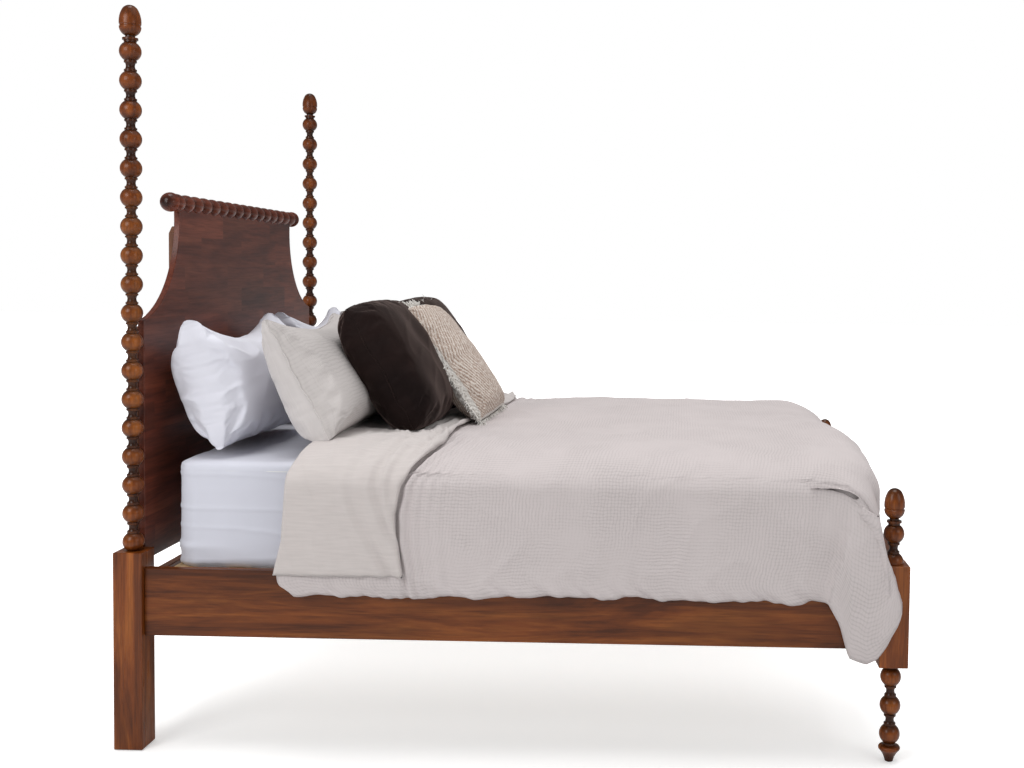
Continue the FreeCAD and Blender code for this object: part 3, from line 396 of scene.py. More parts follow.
def surface(name, points, finish, around=False, flat=None):
    """A piece over a grid of points; around joins its last column to its first. flat gives
    each grid point's place on the cloth, as its texture coordinates."""
    rows, columns = points.shape[:2]
    index = np.arange(rows * columns).reshape(rows, columns)
    faces = squares(np.hstack([index, index[:, :1]]) if around else index)
    piece = smooth_piece(name, points, faces, finish)
    if flat is not None:
        cloth = piece.data.uv_layers.new(name="cloth")
        cloth.uv.foreach_set("vector", flat.reshape(-1, 2)[faces.reshape(-1)].astype(np.float32).ravel())
    return piece


def close_seams(piece, gap=0.00002):
    """Merges points that lie on each other and turns every face outwards."""
    work = bmesh.new()
    work.from_mesh(piece.data)
    bmesh.ops.remove_doubles(work, verts=work.verts, dist=gap)
    bmesh.ops.dissolve_degenerate(work, edges=work.edges, dist=gap / 10)
    bmesh.ops.recalc_face_normals(work, faces=work.faces)
    work.to_mesh(piece.data)
    work.free()


def plan_path(long, wide, corner, straight, bend):
    """Points and outward directions round a rectangle with round corners, anticlockwise: a
    quarter circle of points at each corner, then evenly spaced points along the side."""
    parts = []
    for quarter, (x_side, y_side) in enumerate(((1, 1), (-1, 1), (-1, -1), (1, -1))):
        centre = np.array([x_side * (long / 2 - corner), y_side * (wide / 2 - corner)])
        angle = np.linspace(quarter, quarter + 1, bend) * np.pi / 2
        out = np.stack([np.cos(angle), np.sin(angle)], -1)
        arc = centre + corner * out
        run = (wide if quarter % 2 else long) - 2 * corner
        ahead = np.array([-out[-1, 1], out[-1, 0]])
        steps = np.linspace(0, run, straight + 1)[1:-1, None]
        parts.append(np.hstack([arc, out]))
        parts.append(np.hstack([arc[-1] + steps * ahead, np.repeat(out[-1:], len(steps), 0)]))
    path = np.vstack(parts)
    return path[:, :2], path[:, 2:]


def stacked(*parts):
    """Points from their coordinates, each spread over the same grid."""
    return np.dstack(np.broadcast_arrays(*parts))


def smooth_step(value, low, high):
    """Zero to one between two values, level at both."""
    share = np.clip((value - low) / (high - low), 0, 1)
    return share * share * (3 - 2 * share)


def sunken(points):
    """Lowers the foot end, which gives way under the duvet that is pulled over it: its whole
    edge by the square of the nearness to it, and its two corners further."""
    x, y, z = points[..., 0], points[..., 1], points[..., 2]
    above = np.clip((z - SINK_ABOVE) / (BED_HIGH[2] - SINK_ABOVE), 0, 1)
    to_edge = np.clip((x - SINK_PAST) / (BED_HIGH[0] - SINK_PAST), 0, 1)
    at_corner = (np.clip((x - CORNER_PAST[0]) / CORNER_OVER[0], 0, 1)
                 * np.clip((np.abs(y) - CORNER_PAST[1]) / CORNER_OVER[1], 0, 1))
    lower = SINK_EDGE * to_edge ** 2 + SINK_CORNER * smooth_step(at_corner, 0, 1)
    return np.dstack([x - SINK_BACK * to_edge, y, z - lower * above])


def ticking_finish():
    """Off-white damask: fine threads, with soft square patches of a second white."""
    finish, tree, body = shader_tree("ticking")
    place = object_place(tree)
    patches = add(tree, "TexVoronoi", {0: place, "Scale": 16.0}, distance="CHEBYCHEV")
    shade = ramp(tree, patches, [(0.0, (0.70, 0.70, 0.68)), (0.6, (0.78, 0.78, 0.77))])
    plug(tree, body, {"Base Color": shade, "Roughness": 0.85,
                      "Normal": bumps(tree, noise(tree, place, 700.0, 2.0), 0.2, 0.0004)})
    return finish


def mattress_body():
    """The plan's outline, shrunk towards the middle by the profile's share and set at its
    height: from the middle of the underside out, up the side and back over the top.

    Each rim carries a round cord, and the sides swell a little between the two rims."""
    path, out = plan_path(BED_LONG, BED_WIDE, BED_CORNER, straight=34, bend=9)
    turn = np.linspace(0, np.pi / 2, 6)
    inner = np.linspace(0, 1, 40)[:-1]
    height = BED_HIGH[2] - BED_LOW[2]
    low_rim = [(1.0, -BED_RIM * (1 - math.sin(angle)), BED_RIM * (1 - math.cos(angle))) for angle in turn]
    side = [(1.0, -SIDE_SWELL * math.sin(math.pi * share), BED_RIM + share * (height - 2 * BED_RIM))
            for share in (0.02, 0.04, 0.06, 0.3, 0.5, 0.7, 0.94, 0.96, 0.98)]
    high_rim = [(share, inset, height - rise) for share, inset, rise in reversed(low_rim)]
    profile = [(share, -BED_RIM, 0.0) for share in inner] + low_rim + side + high_rim
    profile += [(share, -BED_RIM, height) for share in reversed(inner)]
    share, inset, rise = np.array(profile).T
    cord = CORD_HIGH * sum(np.exp(-((rise - rim) / CORD_WIDE) ** 2) for rim in (BED_RIM, height - BED_RIM))
    ring = (path + out * (inset + cord)[:, None, None]) * share[:, None, None]
    points = stacked(ring[..., 0] + BED_MIDDLE[0], ring[..., 1] + BED_MIDDLE[1], BED_LOW[2] + rise[:, None])
    return surface("mattress_cover", sunken(points), ticking_finish(), around=True)


mattress = mattress_body()
close_seams(mattress)
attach(mattress, "root")
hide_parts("mattress")


# ---------------------------------------------------------------- fitted sheet
# White percale pulled over the mattress and held by elastic under it. Its side is sewn to its
# top at each corner, and the pull of the elastic leaves shallow drag lines on the side.
SHEET_OFF, SHEET_TURN_UNDER = 0.0022, 1.15
SHEET_COLOUR = (0.625, 0.632, 0.705)
# How far the sheet's relief stands off, by kind.
DRAG, BROAD, CRUMPLE, SEAM, GATHERS = 0.0048, 0.0022, 0.0020, 0.0018, 0.0012


def waves(across, along, seed, count, shortest, longest, lean=None):
    """Smooth seeded unevenness between about -1 and 1: a sum of sine waves with random
    directions and phases. lean keeps the waves' crests near one direction, in radians."""
    dice = np.random.default_rng(seed)
    total = np.zeros(np.broadcast(across, along).shape)
    for _ in range(count):
        length = shortest * (longest / shortest) ** dice.random()
        angle = 2 * np.pi * dice.random() if lean is None else lean + 0.35 * dice.normal()
        total += np.sin(2 * np.pi * (across * math.cos(angle) + along * math.sin(angle)) / length
                        + 2 * np.pi * dice.random())
    return total / math.sqrt(count)


def creases(across, along, seed, count, shortest, longest, lean=None, sharp=3.0):
    """Sharp ridges where the smooth unevenness passes zero: one minus its size, to a power."""
    return (1 - np.minimum(np.abs(waves(across, along, seed, count, shortest, longest, lean)), 1)) ** sharp


def walk_of(line):
    """How far along a line each of its points is."""
    return np.concatenate([[0], np.cumsum(np.linalg.norm(np.diff(line, axis=0), axis=1))])


def unit(ways):
    """Ways made one long."""
    return ways / np.maximum(np.linalg.norm(ways, axis=-1, keepdims=True), 1e-12)


def facing(points):
    """Directions square to a grid of points, from the steps between neighbours."""
    return unit(np.cross(np.gradient(points, axis=0), np.gradient(points, axis=1)))


def cloth_place(tree):
    """The place on the cloth as it lies flat."""
    return add(tree, "UVMap", {}, uv_map="cloth")


def toned(colour, share):
    """A colour made darker or lighter."""
    return tuple(min(channel * share, 1.0) for channel in colour)


def weave_bump(tree, threads, depth, distance):
    """Plain weave: two crossed sets of threads, as the shading of a height."""
    warp, weft = [add(tree, "TexWave", {0: cloth_place(tree), "Scale": threads, "Distortion": 1.2,
                                        "Detail": 1.0}, "Fac", wave_type="BANDS", bands_direction=letter)
                  for letter in "XY"]
    return bumps(tree, maths(tree, "MULTIPLY", warp, weft), depth, distance)


def percale_finish(name, colour):
    """Close plain weave, a little uneven in its white."""
    finish, tree, body = shader_tree(name)
    patches = noise(tree, object_place(tree), 5.0, 4.0)
    plug(tree, body, {"Base Color": ramp(tree, patches, [(0.3, toned(colour, 0.95)), (0.7, colour)]),
                      "Normal": weave_bump(tree, 300.0, 0.15, 0.0002), "Roughness": 0.75,
                      "Sheen Weight": 0.15})
    return finish


def fitted_sheet():
    """The mattress's own outline and profile a cloth's thickness further out, from the middle
    of the top to just round the lower rim.

    On it are ridges along the rim and corner seams, crumples on top, drag lines that run from
    the corners along the side, and gathers above the elastic."""
    path, out = plan_path(BED_LONG, BED_WIDE, BED_CORNER, straight=90, bend=14)
    height = BED_HIGH[2] - BED_LOW[2]
    bend = BED_RIM + SHEET_OFF
    top_rings, side_rings = 59, 46
    turn = np.linspace(0, np.pi / 2, 9)
    under = np.linspace(0, SHEET_TURN_UNDER, 8)[1:]
    share = np.concatenate([np.linspace(0, 1, top_rings + 1)[:-1],
                            np.ones(len(turn) + side_rings + len(under))])
    inset = np.concatenate([np.full(top_rings, -BED_RIM), bend * np.sin(turn) - BED_RIM,
                            np.full(side_rings, SHEET_OFF), bend * np.cos(under) - BED_RIM])
    side = np.linspace(0, height - 2 * BED_RIM, side_rings + 2)[1:-1]
    fall = np.concatenate([np.zeros(top_rings), bend * (1 - np.cos(turn)), bend + side,
                           bend + height - 2 * BED_RIM + bend * np.sin(under)])
    upright = np.concatenate([np.ones(top_rings), np.cos(turn), np.zeros(side_rings), -np.sin(under)])
    plan = (path + out * inset[:, None, None]) * share[:, None, None]
    down, upright, around = fall[:, None], upright[:, None], walk_of(path)
    points = stacked(plan[..., 0] + BED_MIDDLE[0], plan[..., 1] + BED_MIDDLE[1],
                     BED_HIGH[2] + SHEET_OFF - down)
    level = np.sqrt(1 - upright ** 2)
    lean = stacked(level * out[:, 0], level * out[:, 1], upright)
    on_side = smooth_step(down, 0.01, 0.05)
    pull = np.exp(-np.maximum(BED_LONG / 2 - np.abs(plan[..., 0]), 0) / 0.5)
    drag = creases(around * 0.28, down, 11, 7, 0.07, 0.20, lean=1.40, sharp=4.0)
    gathers = waves(around, down * 0.3, 13, 7, 0.012, 0.05, lean=0.0)
    gathers = gathers * smooth_step(down, height - 0.05, height - 0.01)
    crumple = creases(plan[..., 0], plan[..., 1], 12, 9, 0.10, 0.45)
    broad = waves(around, down, 14, 6, 0.25, 0.8)
    rim = np.exp(-((down - 0.010) / 0.0030) ** 2)
    corner_seam = np.exp(-((np.abs(plan[..., 0]) - (BED_LONG / 2 - 0.050)) / 0.0028) ** 2) * on_side
    lift = (DRAG * drag * on_side * pull + BROAD * broad * on_side + CRUMPLE * crumple * (1 - on_side)
            + SEAM * rim + SEAM * corner_seam + GATHERS * gathers)
    points = sunken(points + lean * lift[..., None])
    return surface("sheet_cloth", points, percale_finish("sheet_percale", SHEET_COLOUR), around=True,
                   flat=plan + out * down[..., None])


sheet = fitted_sheet()
close_seams(sheet)
skin = sheet.modifiers.new("cloth_thickness", "SOLIDIFY")
skin.thickness, skin.offset = 0.0008, 1.0
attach(sheet, "root")
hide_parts("fitted_sheet")


# ---------------------------------------------------------------- duvet
# A light duvet in a cover of crinkled double gauze. It lies over the mattress, hangs past the
# side rails, tucks down inside the foot rail, and its two foot corners hang outside the posts.
QUILT_TOP, QUILT_OUT = 0.874, 0.8495
QUILT_ROUND_IN, QUILT_ROUND_DOWN, QUILT_THICK = 0.230, 0.105, 0.026
QUILT_HEM = 0.466
FOOT_FACE, FOOT_LOW = 1.0635, 0.556
FOOT_ROUND_RIGHT, FOOT_ROUND_LEFT = 0.085, 0.165
POST_FACE, POST_INNER = 1.036, 0.745
CORNER_DROOP = 0.045
GAUZE = (0.548, 0.498, 0.494)
# How far the duvet's relief stands off, by kind.
SWELL, CREASE, PUCKER, FAN, WING_STEP, RUFFLE = 0.0050, 0.0030, 0.0050, 0.0060, 0.0170, 0.0080
# Heights down the near side, with where the duvet's head edge and its wing's edge lie there.
HEAD_HEIGHTS, HEAD_EDGE = (0.46, 0.483, 0.50, 0.52, 0.55, 0.62, 0.70, 0.80, 0.86, 0.88), \
    (-0.600, -0.625, -0.652, -0.657, -0.650, -0.633, -0.628, -0.622, -0.600, -0.575)
WING_HEIGHTS, WING_EDGE = (0.300, 0.314, 0.357, 0.414, 0.485, 0.541, 0.611, 0.650, 0.686, 0.750, 0.819), \
    (1.010, 1.036, 1.068, 1.094, 1.1065, 1.098, 1.084, 1.072, 1.058, 1.042, 1.016)
WING_FROM = 0.93
# The same for the loose edge of the turned-down end, beside which the duvet is ruffled.
FLAP_HEIGHTS, FLAP_EDGE = (0.52, 0.574, 0.64, 0.701, 0.777, 0.815, 0.845, 0.862, 0.873), \
    (-0.293, -0.302, -0.312, -0.315, -0.300, -0.275, -0.245, -0.225, -0.205)
# A fold runs down the wing from under the mattress's corner: its upper and lower end.
WING_FOLD = ((0.985, 0.840), (0.895, 0.500))
# Where the fan of folds starts, as x and z, and the ruffle's pitch and reach.
FAN_FROM, RUFFLE_PITCH, RUFFLE_REACH = (0.90, 0.93), 0.034, 0.060


def gauze_finish(name, colour, cell, depth):
    """Crinkled double gauze: two crossed sets of wavering bands, a crinkle's width apart. Thin creases part
    the puffed cloth, painted darker as shade, and how strong each set is wanders over the cloth."""
    finish, tree, body = shader_tree(name)
    cloth = cloth_place(tree)
    creased = []
    for letter, patch_size in (("X", 4.0), ("Y", 7.0)):
        band = add(tree, "TexWave", {0: cloth, "Scale": math.pi / 10 / cell, "Distortion": 4.5, "Detail": 2.5,
                                     "Detail Scale": 0.8, "Detail Roughness": 0.55},
                   "Fac", wave_type="BANDS", bands_direction=letter)
        much = spread(tree, noise(tree, cloth, patch_size, 3.0), 0.38, 0.62, 0.25, 1.0)
        creased.append(maths(tree, "MULTIPLY", spread(tree, band, 0.0, 0.55, -1.0, 0.0, "SMOOTHSTEP"), much))
    height = maths(tree, "MULTIPLY_ADD", noise(tree, cloth, 380.0, 2.0), 0.25, maths(tree, "ADD", *creased))
    # Painted shade: the colour darkens down into the creases and lightens a little on the puffs.
    lit = spread(tree, height, -1.4, 0.2, 0.0, 1.0)
    shade = ramp(tree, lit, [(0.0, toned(colour, 0.86)), (0.85, toned(colour, 1.02))])
    plug(tree, body, {"Base Color": shade, "Normal": bumps(tree, height, depth, 0.0008),
                      "Roughness": 0.95, "Specular IOR Level": 0.1})
    return finish


def shell(name, middle, across, half, finish, flat, face_finish=None):
    """A stuffed cover: two faces on either side of a middle surface, as far off as half its
    thickness says, sewn together where that is zero. The front face may have its own cloth."""
    front = surface(name, middle + across * half[..., None], face_finish or finish, flat=flat)
    back = surface(name + "_back", middle - across * half[..., None], face_finish or finish, flat=flat)
    if face_finish:
        front.data.materials.append(finish)
        back.data.materials.append(finish)
        back.data.polygons.foreach_set("material_index", np.ones(len(back.data.polygons), np.int32))
    for face in (front, back):
        face.vertex_groups.new(name="seam").add(np.flatnonzero(half < 1e-4).tolist(), 1.0, "REPLACE")
    with bpy.context.temp_override(active_object=front, selected_editable_objects=[front, back]):
        bpy.ops.object.join()
    close_seams(front)
    return front


def edge_roundness(rows, columns, row_step, column_step, radius):
    """One inside and zero at a grid's border, rising as a quarter circle over the radius."""
    row_away = np.minimum(np.arange(rows), np.arange(rows)[::-1]) * row_step
    column_away = np.minimum(np.arange(columns), np.arange(columns)[::-1]) * column_step
    away = np.minimum(row_away[:, None], column_away[None, :])
    return np.sqrt(1 - (1 - np.clip(away / radius, 0, 1)) ** 2)


ROUND_TURN = np.linspace(0, np.pi / 2, 200)
ROUND_Y = QUILT_OUT - QUILT_ROUND_IN + QUILT_ROUND_IN * np.sin(ROUND_TURN)
ROUND_Z = QUILT_TOP - QUILT_ROUND_DOWN * (1 - np.cos(ROUND_TURN))
ROUND_WALK = QUILT_OUT - QUILT_ROUND_IN + walk_of(np.stack([ROUND_Y, ROUND_Z], -1))
ROUND_SLOPE = np.arctan2(np.sin(ROUND_TURN) / QUILT_ROUND_IN, np.cos(ROUND_TURN) / QUILT_ROUND_DOWN)


def section(walk):
    """Across the bed by distance from the middle line: flat, then a quarter of an ellipse at
    the edge, then straight down. Gives y, z and the slope there, with its sign."""
    away = np.abs(walk)
    y = np.minimum(away, np.interp(away, ROUND_WALK, ROUND_Y))
    z = np.interp(away, ROUND_WALK, ROUND_Z) - np.maximum(away - ROUND_WALK[-1], 0)
    slope = np.interp(away, np.append(ROUND_WALK[0] - 0.001, ROUND_WALK), np.append(0, ROUND_SLOPE))
    return np.sign(walk) * y, z, np.sign(walk) * slope


def walk_down_to(height):
    """The distance from the middle line at which the hanging side is at a height."""
    return ROUND_WALK[-1] + ROUND_Z[-1] - height


def quilt_surface():
    """The duvet's outer face. Across, it follows the section. Along, each line runs level from
    the head edge and then bends down over the foot: by a quarter turn in the middle, and by
    less round the corner until the side's lines run straight on past the post.

    A line ends at the foot's hem, or where it meets the wing's slanting edge."""
    rows, columns = 240, 300
    hem_walk = walk_down_to(QUILT_HEM)
    walk = np.linspace(-hem_walk, hem_walk, columns)
    y, z, angle = section(walk)
    head = np.interp(z, HEAD_HEIGHTS, HEAD_EDGE)
    over = 1 - smooth_step(np.abs(angle), 0.62, 1.34)
    inside_posts = 1 - smooth_step(np.abs(y), POST_INNER - 0.06, POST_INNER)
    face = POST_FACE + (FOOT_FACE - POST_FACE) * inside_posts
    side_share = smooth_step(walk, -0.8, 0.8)
    bend_radius = FOOT_ROUND_RIGHT + (FOOT_ROUND_LEFT - FOOT_ROUND_RIGHT) * side_share
    turn_at = over * (face - bend_radius) + (1 - over) * WING_FROM
    turn = over * np.pi / 2
    start_x = turn_at + bend_radius * np.sin(turn)
    start_z = z - bend_radius * (1 - np.cos(turn))
    reach = np.linspace(0, 0.45, 600)[:, None]
    past_x, past_z = start_x + reach * np.cos(turn), start_z - reach * np.sin(turn)
    at_wing = (over < 0.9) & (past_x >= np.interp(past_z, WING_HEIGHTS, WING_EDGE))
    at_hem = (over > 0.5) & (past_z <= FOOT_LOW)
    tail = reach[np.argmax(at_wing | at_hem, axis=0), 0]
    bend = turn * bend_radius
    total = turn_at - head + bend + tail
    gone = np.linspace(0, 1, rows)[:, None] * total
    level = np.minimum(gone, turn_at - head)
    turned = np.clip(gone - (turn_at - head), 0, bend) / bend_radius
    rest = np.maximum(gone - (turn_at - head) - bend, 0)
    x = head + level + bend_radius * np.sin(turned) + rest * np.cos(turned)
    down = bend_radius * (1 - np.cos(turned)) + rest * np.sin(turned)
    droop = CORNER_DROOP * smooth_step(x, 0.86, 1.06) * smooth_step(np.abs(y), 0.48, 0.80)
    droop = droop * np.clip((z - down - QUILT_HEM) / 0.3, 0, 1)
    points = stacked(x, y, z - down - droop)
    return points, np.broadcast_to(walk, x.shape), gone, total


def quilt_relief(points, walk, gone):
    """How far the cloth stands off its plain shape: broad soft swells, a few creases, puckers
    that rise from the hem, folds that fan out from the mattress's foot corner with one that
    stands over its shadow, and a ruffle beside the turned-down end."""
    x, y, z = points[..., 0], points[..., 1], points[..., 2]
    above_hem = np.abs(walk).max() - np.abs(walk)
    swell = SWELL * waves(gone, walk, 21, 9, 0.30, 0.95)
    crease = CREASE * creases(gone, walk, 22, 8, 0.16, 0.5)
    puckers = PUCKER * np.exp(-above_hem / 0.04) * waves(gone, 0.25 * walk, 23, 8, 0.035, 0.11, lean=0.0)
    at_corner = smooth_step(x, 0.70, 0.98) * smooth_step(np.abs(y), 0.80, 0.845)
    fan = np.arctan2(x - FAN_FROM[0], FAN_FROM[1] - z)
    clear = smooth_step(np.hypot(x - FAN_FROM[0], z - FAN_FROM[1]), 0.14, 0.34)
    folds = FAN * at_corner * clear * np.sin(fan * 12 + 1.5 * waves(gone, walk, 24, 4, 0.2, 0.5))
    (top_x, top_z), (low_x, low_z) = WING_FOLD
    share = (top_z - z) / (top_z - low_z)
    beside = x - (top_x + share * (low_x - top_x))
    step = np.exp(-np.maximum(beside, 0) / 0.05) * smooth_step(beside, -0.012, 0.006)
    step -= 0.7 * np.exp(-(np.minimum(beside + 0.012, 0) / 0.030) ** 2) * (beside < 0.006)
    folds = folds + WING_STEP * at_corner * step * smooth_step(share, 0.15, 0.75)
    beyond = x - np.interp(z, FLAP_HEIGHTS, FLAP_EDGE)
    ruffle = np.sin(2 * np.pi * beyond / RUFFLE_PITCH + 1.6 * waves(gone, walk, 26, 5, 0.15, 0.5))
    ruffle *= RUFFLE * np.exp(-np.maximum(beyond, 0) / RUFFLE_REACH) * smooth_step(beyond, -0.03, 0.01)
    return swell + crease + puckers + folds + ruffle * smooth_step(np.abs(walk), 0.35, 0.60)


def hem_line(points, walk, gone):
    """The hem's height wanders, and outside each foot post it drops to the corner's low tip:
    how much lower each point of the side hangs, growing from the edge down."""
    hem_walk = np.abs(walk).max()
    hanging = smooth_step(np.abs(walk), ROUND_WALK[-1], hem_walk)
    wander = 0.006 * waves(gone, np.sign(walk), 25, 7, 0.10, 0.45) + 0.004
    x = points[..., 0]
    tip = np.interp(x, (0.895, 0.928, 0.957, 1.008, 1.036, 1.068, 1.094, 1.108),
                    (QUILT_HEM, 0.415, 0.318, 0.297, 0.314, 0.357, 0.414, QUILT_HEM))
    lower = QUILT_HEM - np.minimum(tip, QUILT_HEM)
    share = (ROUND_Z[-1] - points[..., 2]) / (ROUND_Z[-1] - QUILT_HEM)
    outside = smooth_step(np.abs(points[..., 1]), 0.80, 0.84)
    return hanging * wander + outside * lower * np.clip(share, 0, 1)


def make_duvet():
    """The quilt's surface with its hem and relief, sewn to a lower face."""
    points, walk, gone, total = quilt_surface()
    points[..., 2] -= hem_line(points, walk, gone)
    out = facing(points)
    rows, columns = walk.shape
    points = points + out * quilt_relief(points, walk, gone)[..., None]
    full = edge_roundness(rows, columns, total.mean() / rows, 2 * np.abs(walk).max() / columns, 0.018)
    middle = points - out * (QUILT_THICK / 2)
    return shell("duvet_cover", middle, out, QUILT_THICK / 2 * full,
                 gauze_finish("gauze", GAUZE, 0.0095, 0.5), np.stack([gone, walk], -1))


duvet = make_duvet()
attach(duvet, "root")
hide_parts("duvet")


# ---------------------------------------------------------------- the duvet's turned-down end
# The head end of the duvet is folded back on itself, so its plain washed reverse shows in a
# band across the bed. Its hem ends above the duvet's own, and its loose edge runs askew.
FLAP_OFF, FLAP_THICK, FLAP_HEM = 0.0065, 0.010, 0.521
REVERSE = (0.560, 0.512, 0.495)
FOLDS_FROM = (-0.215, 0.60)
# How far the turned-down end's relief stands off, by kind.
FLAP_SWELL, EDGE_PULLS, FLAP_CREASE, CORNER_PULLS, EDGE_ROLL = 0.0045, 0.0055, 0.0035, 0.0150, 0.004


def washed_finish(name, colour):
    """Plain washed cotton: a fine weave with faint long lines of wear."""
    finish, tree, body = shader_tree(name)
    lines_at = add(tree, "Mapping", {0: cloth_place(tree), "Scale": (14.0, 160.0, 1.0)})
    lines = noise(tree, lines_at, 1.0, 4.0)
    plug(tree, body, {"Base Color": ramp(tree, lines, [(0.3, toned(colour, 0.92)), (0.65, colour)]),
                      "Normal": weave_bump(tree, 220.0, 0.25, 0.0003), "Roughness": 0.85,
                      "Sheen Weight": 0.2})
    return finish


def make_flap():
    """The duvet's own face, read back by distance along it, lifted by the flap's height.

    Pull folds fan out from where the loose edge turns down over the mattress's side."""
    rows, columns = 70, 230
    hem_walk = walk_down_to(FLAP_HEM)
    walk = np.linspace(-hem_walk, hem_walk, columns)
    y, z, angle = section(walk)
    head = np.interp(z, HEAD_HEIGHTS, HEAD_EDGE) - 0.004
    edge = np.interp(z, FLAP_HEIGHTS, FLAP_EDGE) + 0.028 * np.sin(walk * 4.2) * (np.abs(walk) < 0.76)
    share = np.linspace(0, 1, rows)[:, None]
    x = head + share * (edge - head)
    points = stacked(x, y, z)
    out = stacked(np.zeros_like(x), np.sin(angle), np.cos(angle))
    walks = np.broadcast_to(walk, x.shape)
    swell = FLAP_SWELL * waves(x - head, walks, 21, 9, 0.30, 0.95)
    to_edge = edge - x
    slant = to_edge + 0.45 * np.maximum(QUILT_TOP - z, 0)
    pulls = EDGE_PULLS * np.exp(-to_edge / 0.12) * waves(slant, 0.12 * walks, 31, 6, 0.035, 0.09, lean=0.0)
    soft = FLAP_CREASE * creases(x, walks, 32, 7, 0.12, 0.4, lean=0.5)
    aside, below = FOLDS_FROM[0] - x, np.abs(walks) - FOLDS_FROM[1]
    away = np.hypot(aside, below)
    fan = np.abs(np.sin(7 * np.arctan2(aside, below) + 0.8 * waves(x, walks, 33, 4, 0.15, 0.4)))
    pulls = pulls + CORNER_PULLS * (1 - fan) ** 2 * np.exp(-away / 0.24) * smooth_step(away, 0.01, 0.08)
    high = FLAP_OFF + swell + pulls + soft + EDGE_ROLL * np.exp(-((to_edge - 0.012) / 0.014) ** 2)
    full = edge_roundness(rows, columns, 0.35 / rows, 2 * hem_walk / columns, 0.008)
    middle = points + out * (high + 0.002)[..., None]
    return shell("duvet_turndown", middle, out, FLAP_THICK / 2 * full,
                 washed_finish("washed_cotton", REVERSE), np.stack([x, walks], -1))


flap = make_flap()
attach(flap, "root")


# ---------------------------------------------------------------- pillows
# Each pillow is a sewn cover over a soft filling: crowned in the middle, thin at its seam and
# corners, and pulled in along its sides. All lean back against what is behind them.
PILLOW_GRID = 81
PILLOW_HEART = (PILLOW_GRID // 2, PILLOW_GRID // 2)
SEAM_WAVER, CLOTH_SPARE = 0.004, 1.1
CLOTH_STIFF, STUFFING_FRAMES = 8.0, 18


def pillow_shape(node, shift, lean, across, tall, thick, crown, pull=0.05, corner=0.0, slump=0.0,
                 sag=0.0, ear=0.0, wrinkle=0.0, seed=0):
    """A cushion's middle surface, its facing and half its thickness, near the node's place.

    Both shares of the way across and up are sines of an even angle, so that points crowd near
    the seam. The thickness is the product of both cosines' powers, crown: low powers give full
    ends. pull draws the sides in, corner rounds the outline, slump moves filling down, sag
    lowers the middle of the top edge, and ear lifts its corners. The seam itself wavers."""
    low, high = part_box(node)
    angle = np.linspace(-np.pi / 2, np.pi / 2, PILLOW_GRID)
    side, up = np.meshgrid(angle, angle, indexing="ij")
    s, t = np.sin(side), np.sin(up)
    width = across / 2 * s * (1 - pull * (1 - t ** 2)) * np.sqrt(1 - corner * t ** 2 * s ** 2)
    height = tall / 2 * t * (1 - pull * (1 - s ** 2)) * np.sqrt(1 - corner * s ** 2 * t ** 2)
    height = height - sag * (1 - s ** 2) * np.clip(t, 0, 1) ** 2
    height = height + ear * np.abs(s) ** 5 * np.clip(t, 0, 1) ** 3
    inside = np.cos(side) * np.cos(up)
    half = thick / 2 * np.cos(side) ** crown[0] * np.cos(up) ** crown[1] * (1 - slump * t)
    folds = waves(width, height, seed + 3, 7, 0.10, 0.35)
    folds = folds + 0.8 * creases(width, height, seed + 4, 7, 0.1, 0.3)
    half = half + wrinkle * folds * inside ** 0.8
    waver = SEAM_WAVER * waves(width, height, seed + 5, 6, 0.06, 0.22) * (1 - inside) ** 6
    back = math.radians(lean)
    up_way = np.array([-math.sin(back), 0, math.cos(back)])
    out = np.array([math.cos(back), 0, math.sin(back)])
    centre = (np.array(low) + np.array(high)) / 2 + np.array(shift)
    middle = centre + width[..., None] * [0, 1, 0] + height[..., None] * up_way + waver[..., None] * out
    flat = np.stack([side * across, up * tall], -1) / np.pi * CLOTH_SPARE
    return middle, np.broadcast_to(out, middle.shape), half, flat


def stuff(piece, pressure, excess, most):
    """Blows the sewn cover up from inside while its cloth grows a little, as a filling does: it
    gathers wrinkles between the seams, which stay. No point moves further than the given most."""
    scene = bpy.context.scene
    before = np.empty(len(piece.data.vertices) * 3, np.float32)
    piece.data.vertices.foreach_get("co", before)
    blown = piece.modifiers.new("filling", "CLOTH")
    cloth = blown.settings
    cloth.quality, cloth.mass, cloth.air_damping = 5, 0.3, 1.0
    cloth.tension_stiffness = cloth.compression_stiffness = CLOTH_STIFF
    cloth.shear_stiffness, cloth.bending_stiffness = 1.0, 0.05
    cloth.vertex_group_mass = "seam"
    cloth.use_pressure, cloth.uniform_pressure_force = True, pressure
    cloth.shrink_min = -excess
    cloth.effector_weights.gravity = 0
    blown.collision_settings.use_collision = False
    blown.point_cache.frame_start, blown.point_cache.frame_end = 1, STUFFING_FRAMES
    for step in range(1, STUFFING_FRAMES + 1):
        scene.frame_set(step)
    shape = piece.evaluated_get(bpy.context.evaluated_depsgraph_get()).data
    after = np.empty_like(before)
    shape.vertices.foreach_get("co", after)
    piece.modifiers.remove(blown)
    scene.frame_set(1)
    move = (after - before).reshape(-1, 3)
    far = np.linalg.norm(move, axis=1, keepdims=True)
    move = move * np.tanh(far / most) * most / np.maximum(far, 1e-9)
    piece.data.vertices.foreach_set("co", (before.reshape(-1, 3) + move).ravel())
    piece.data.update()


def seam_of(middle):
    """The points along a cushion's whole edge, back to the first."""
    return np.concatenate([middle[:-1, 0], middle[-1, :-1], middle[:0:-1, -1], middle[0, :0:-1],
                           middle[:1, 0]])


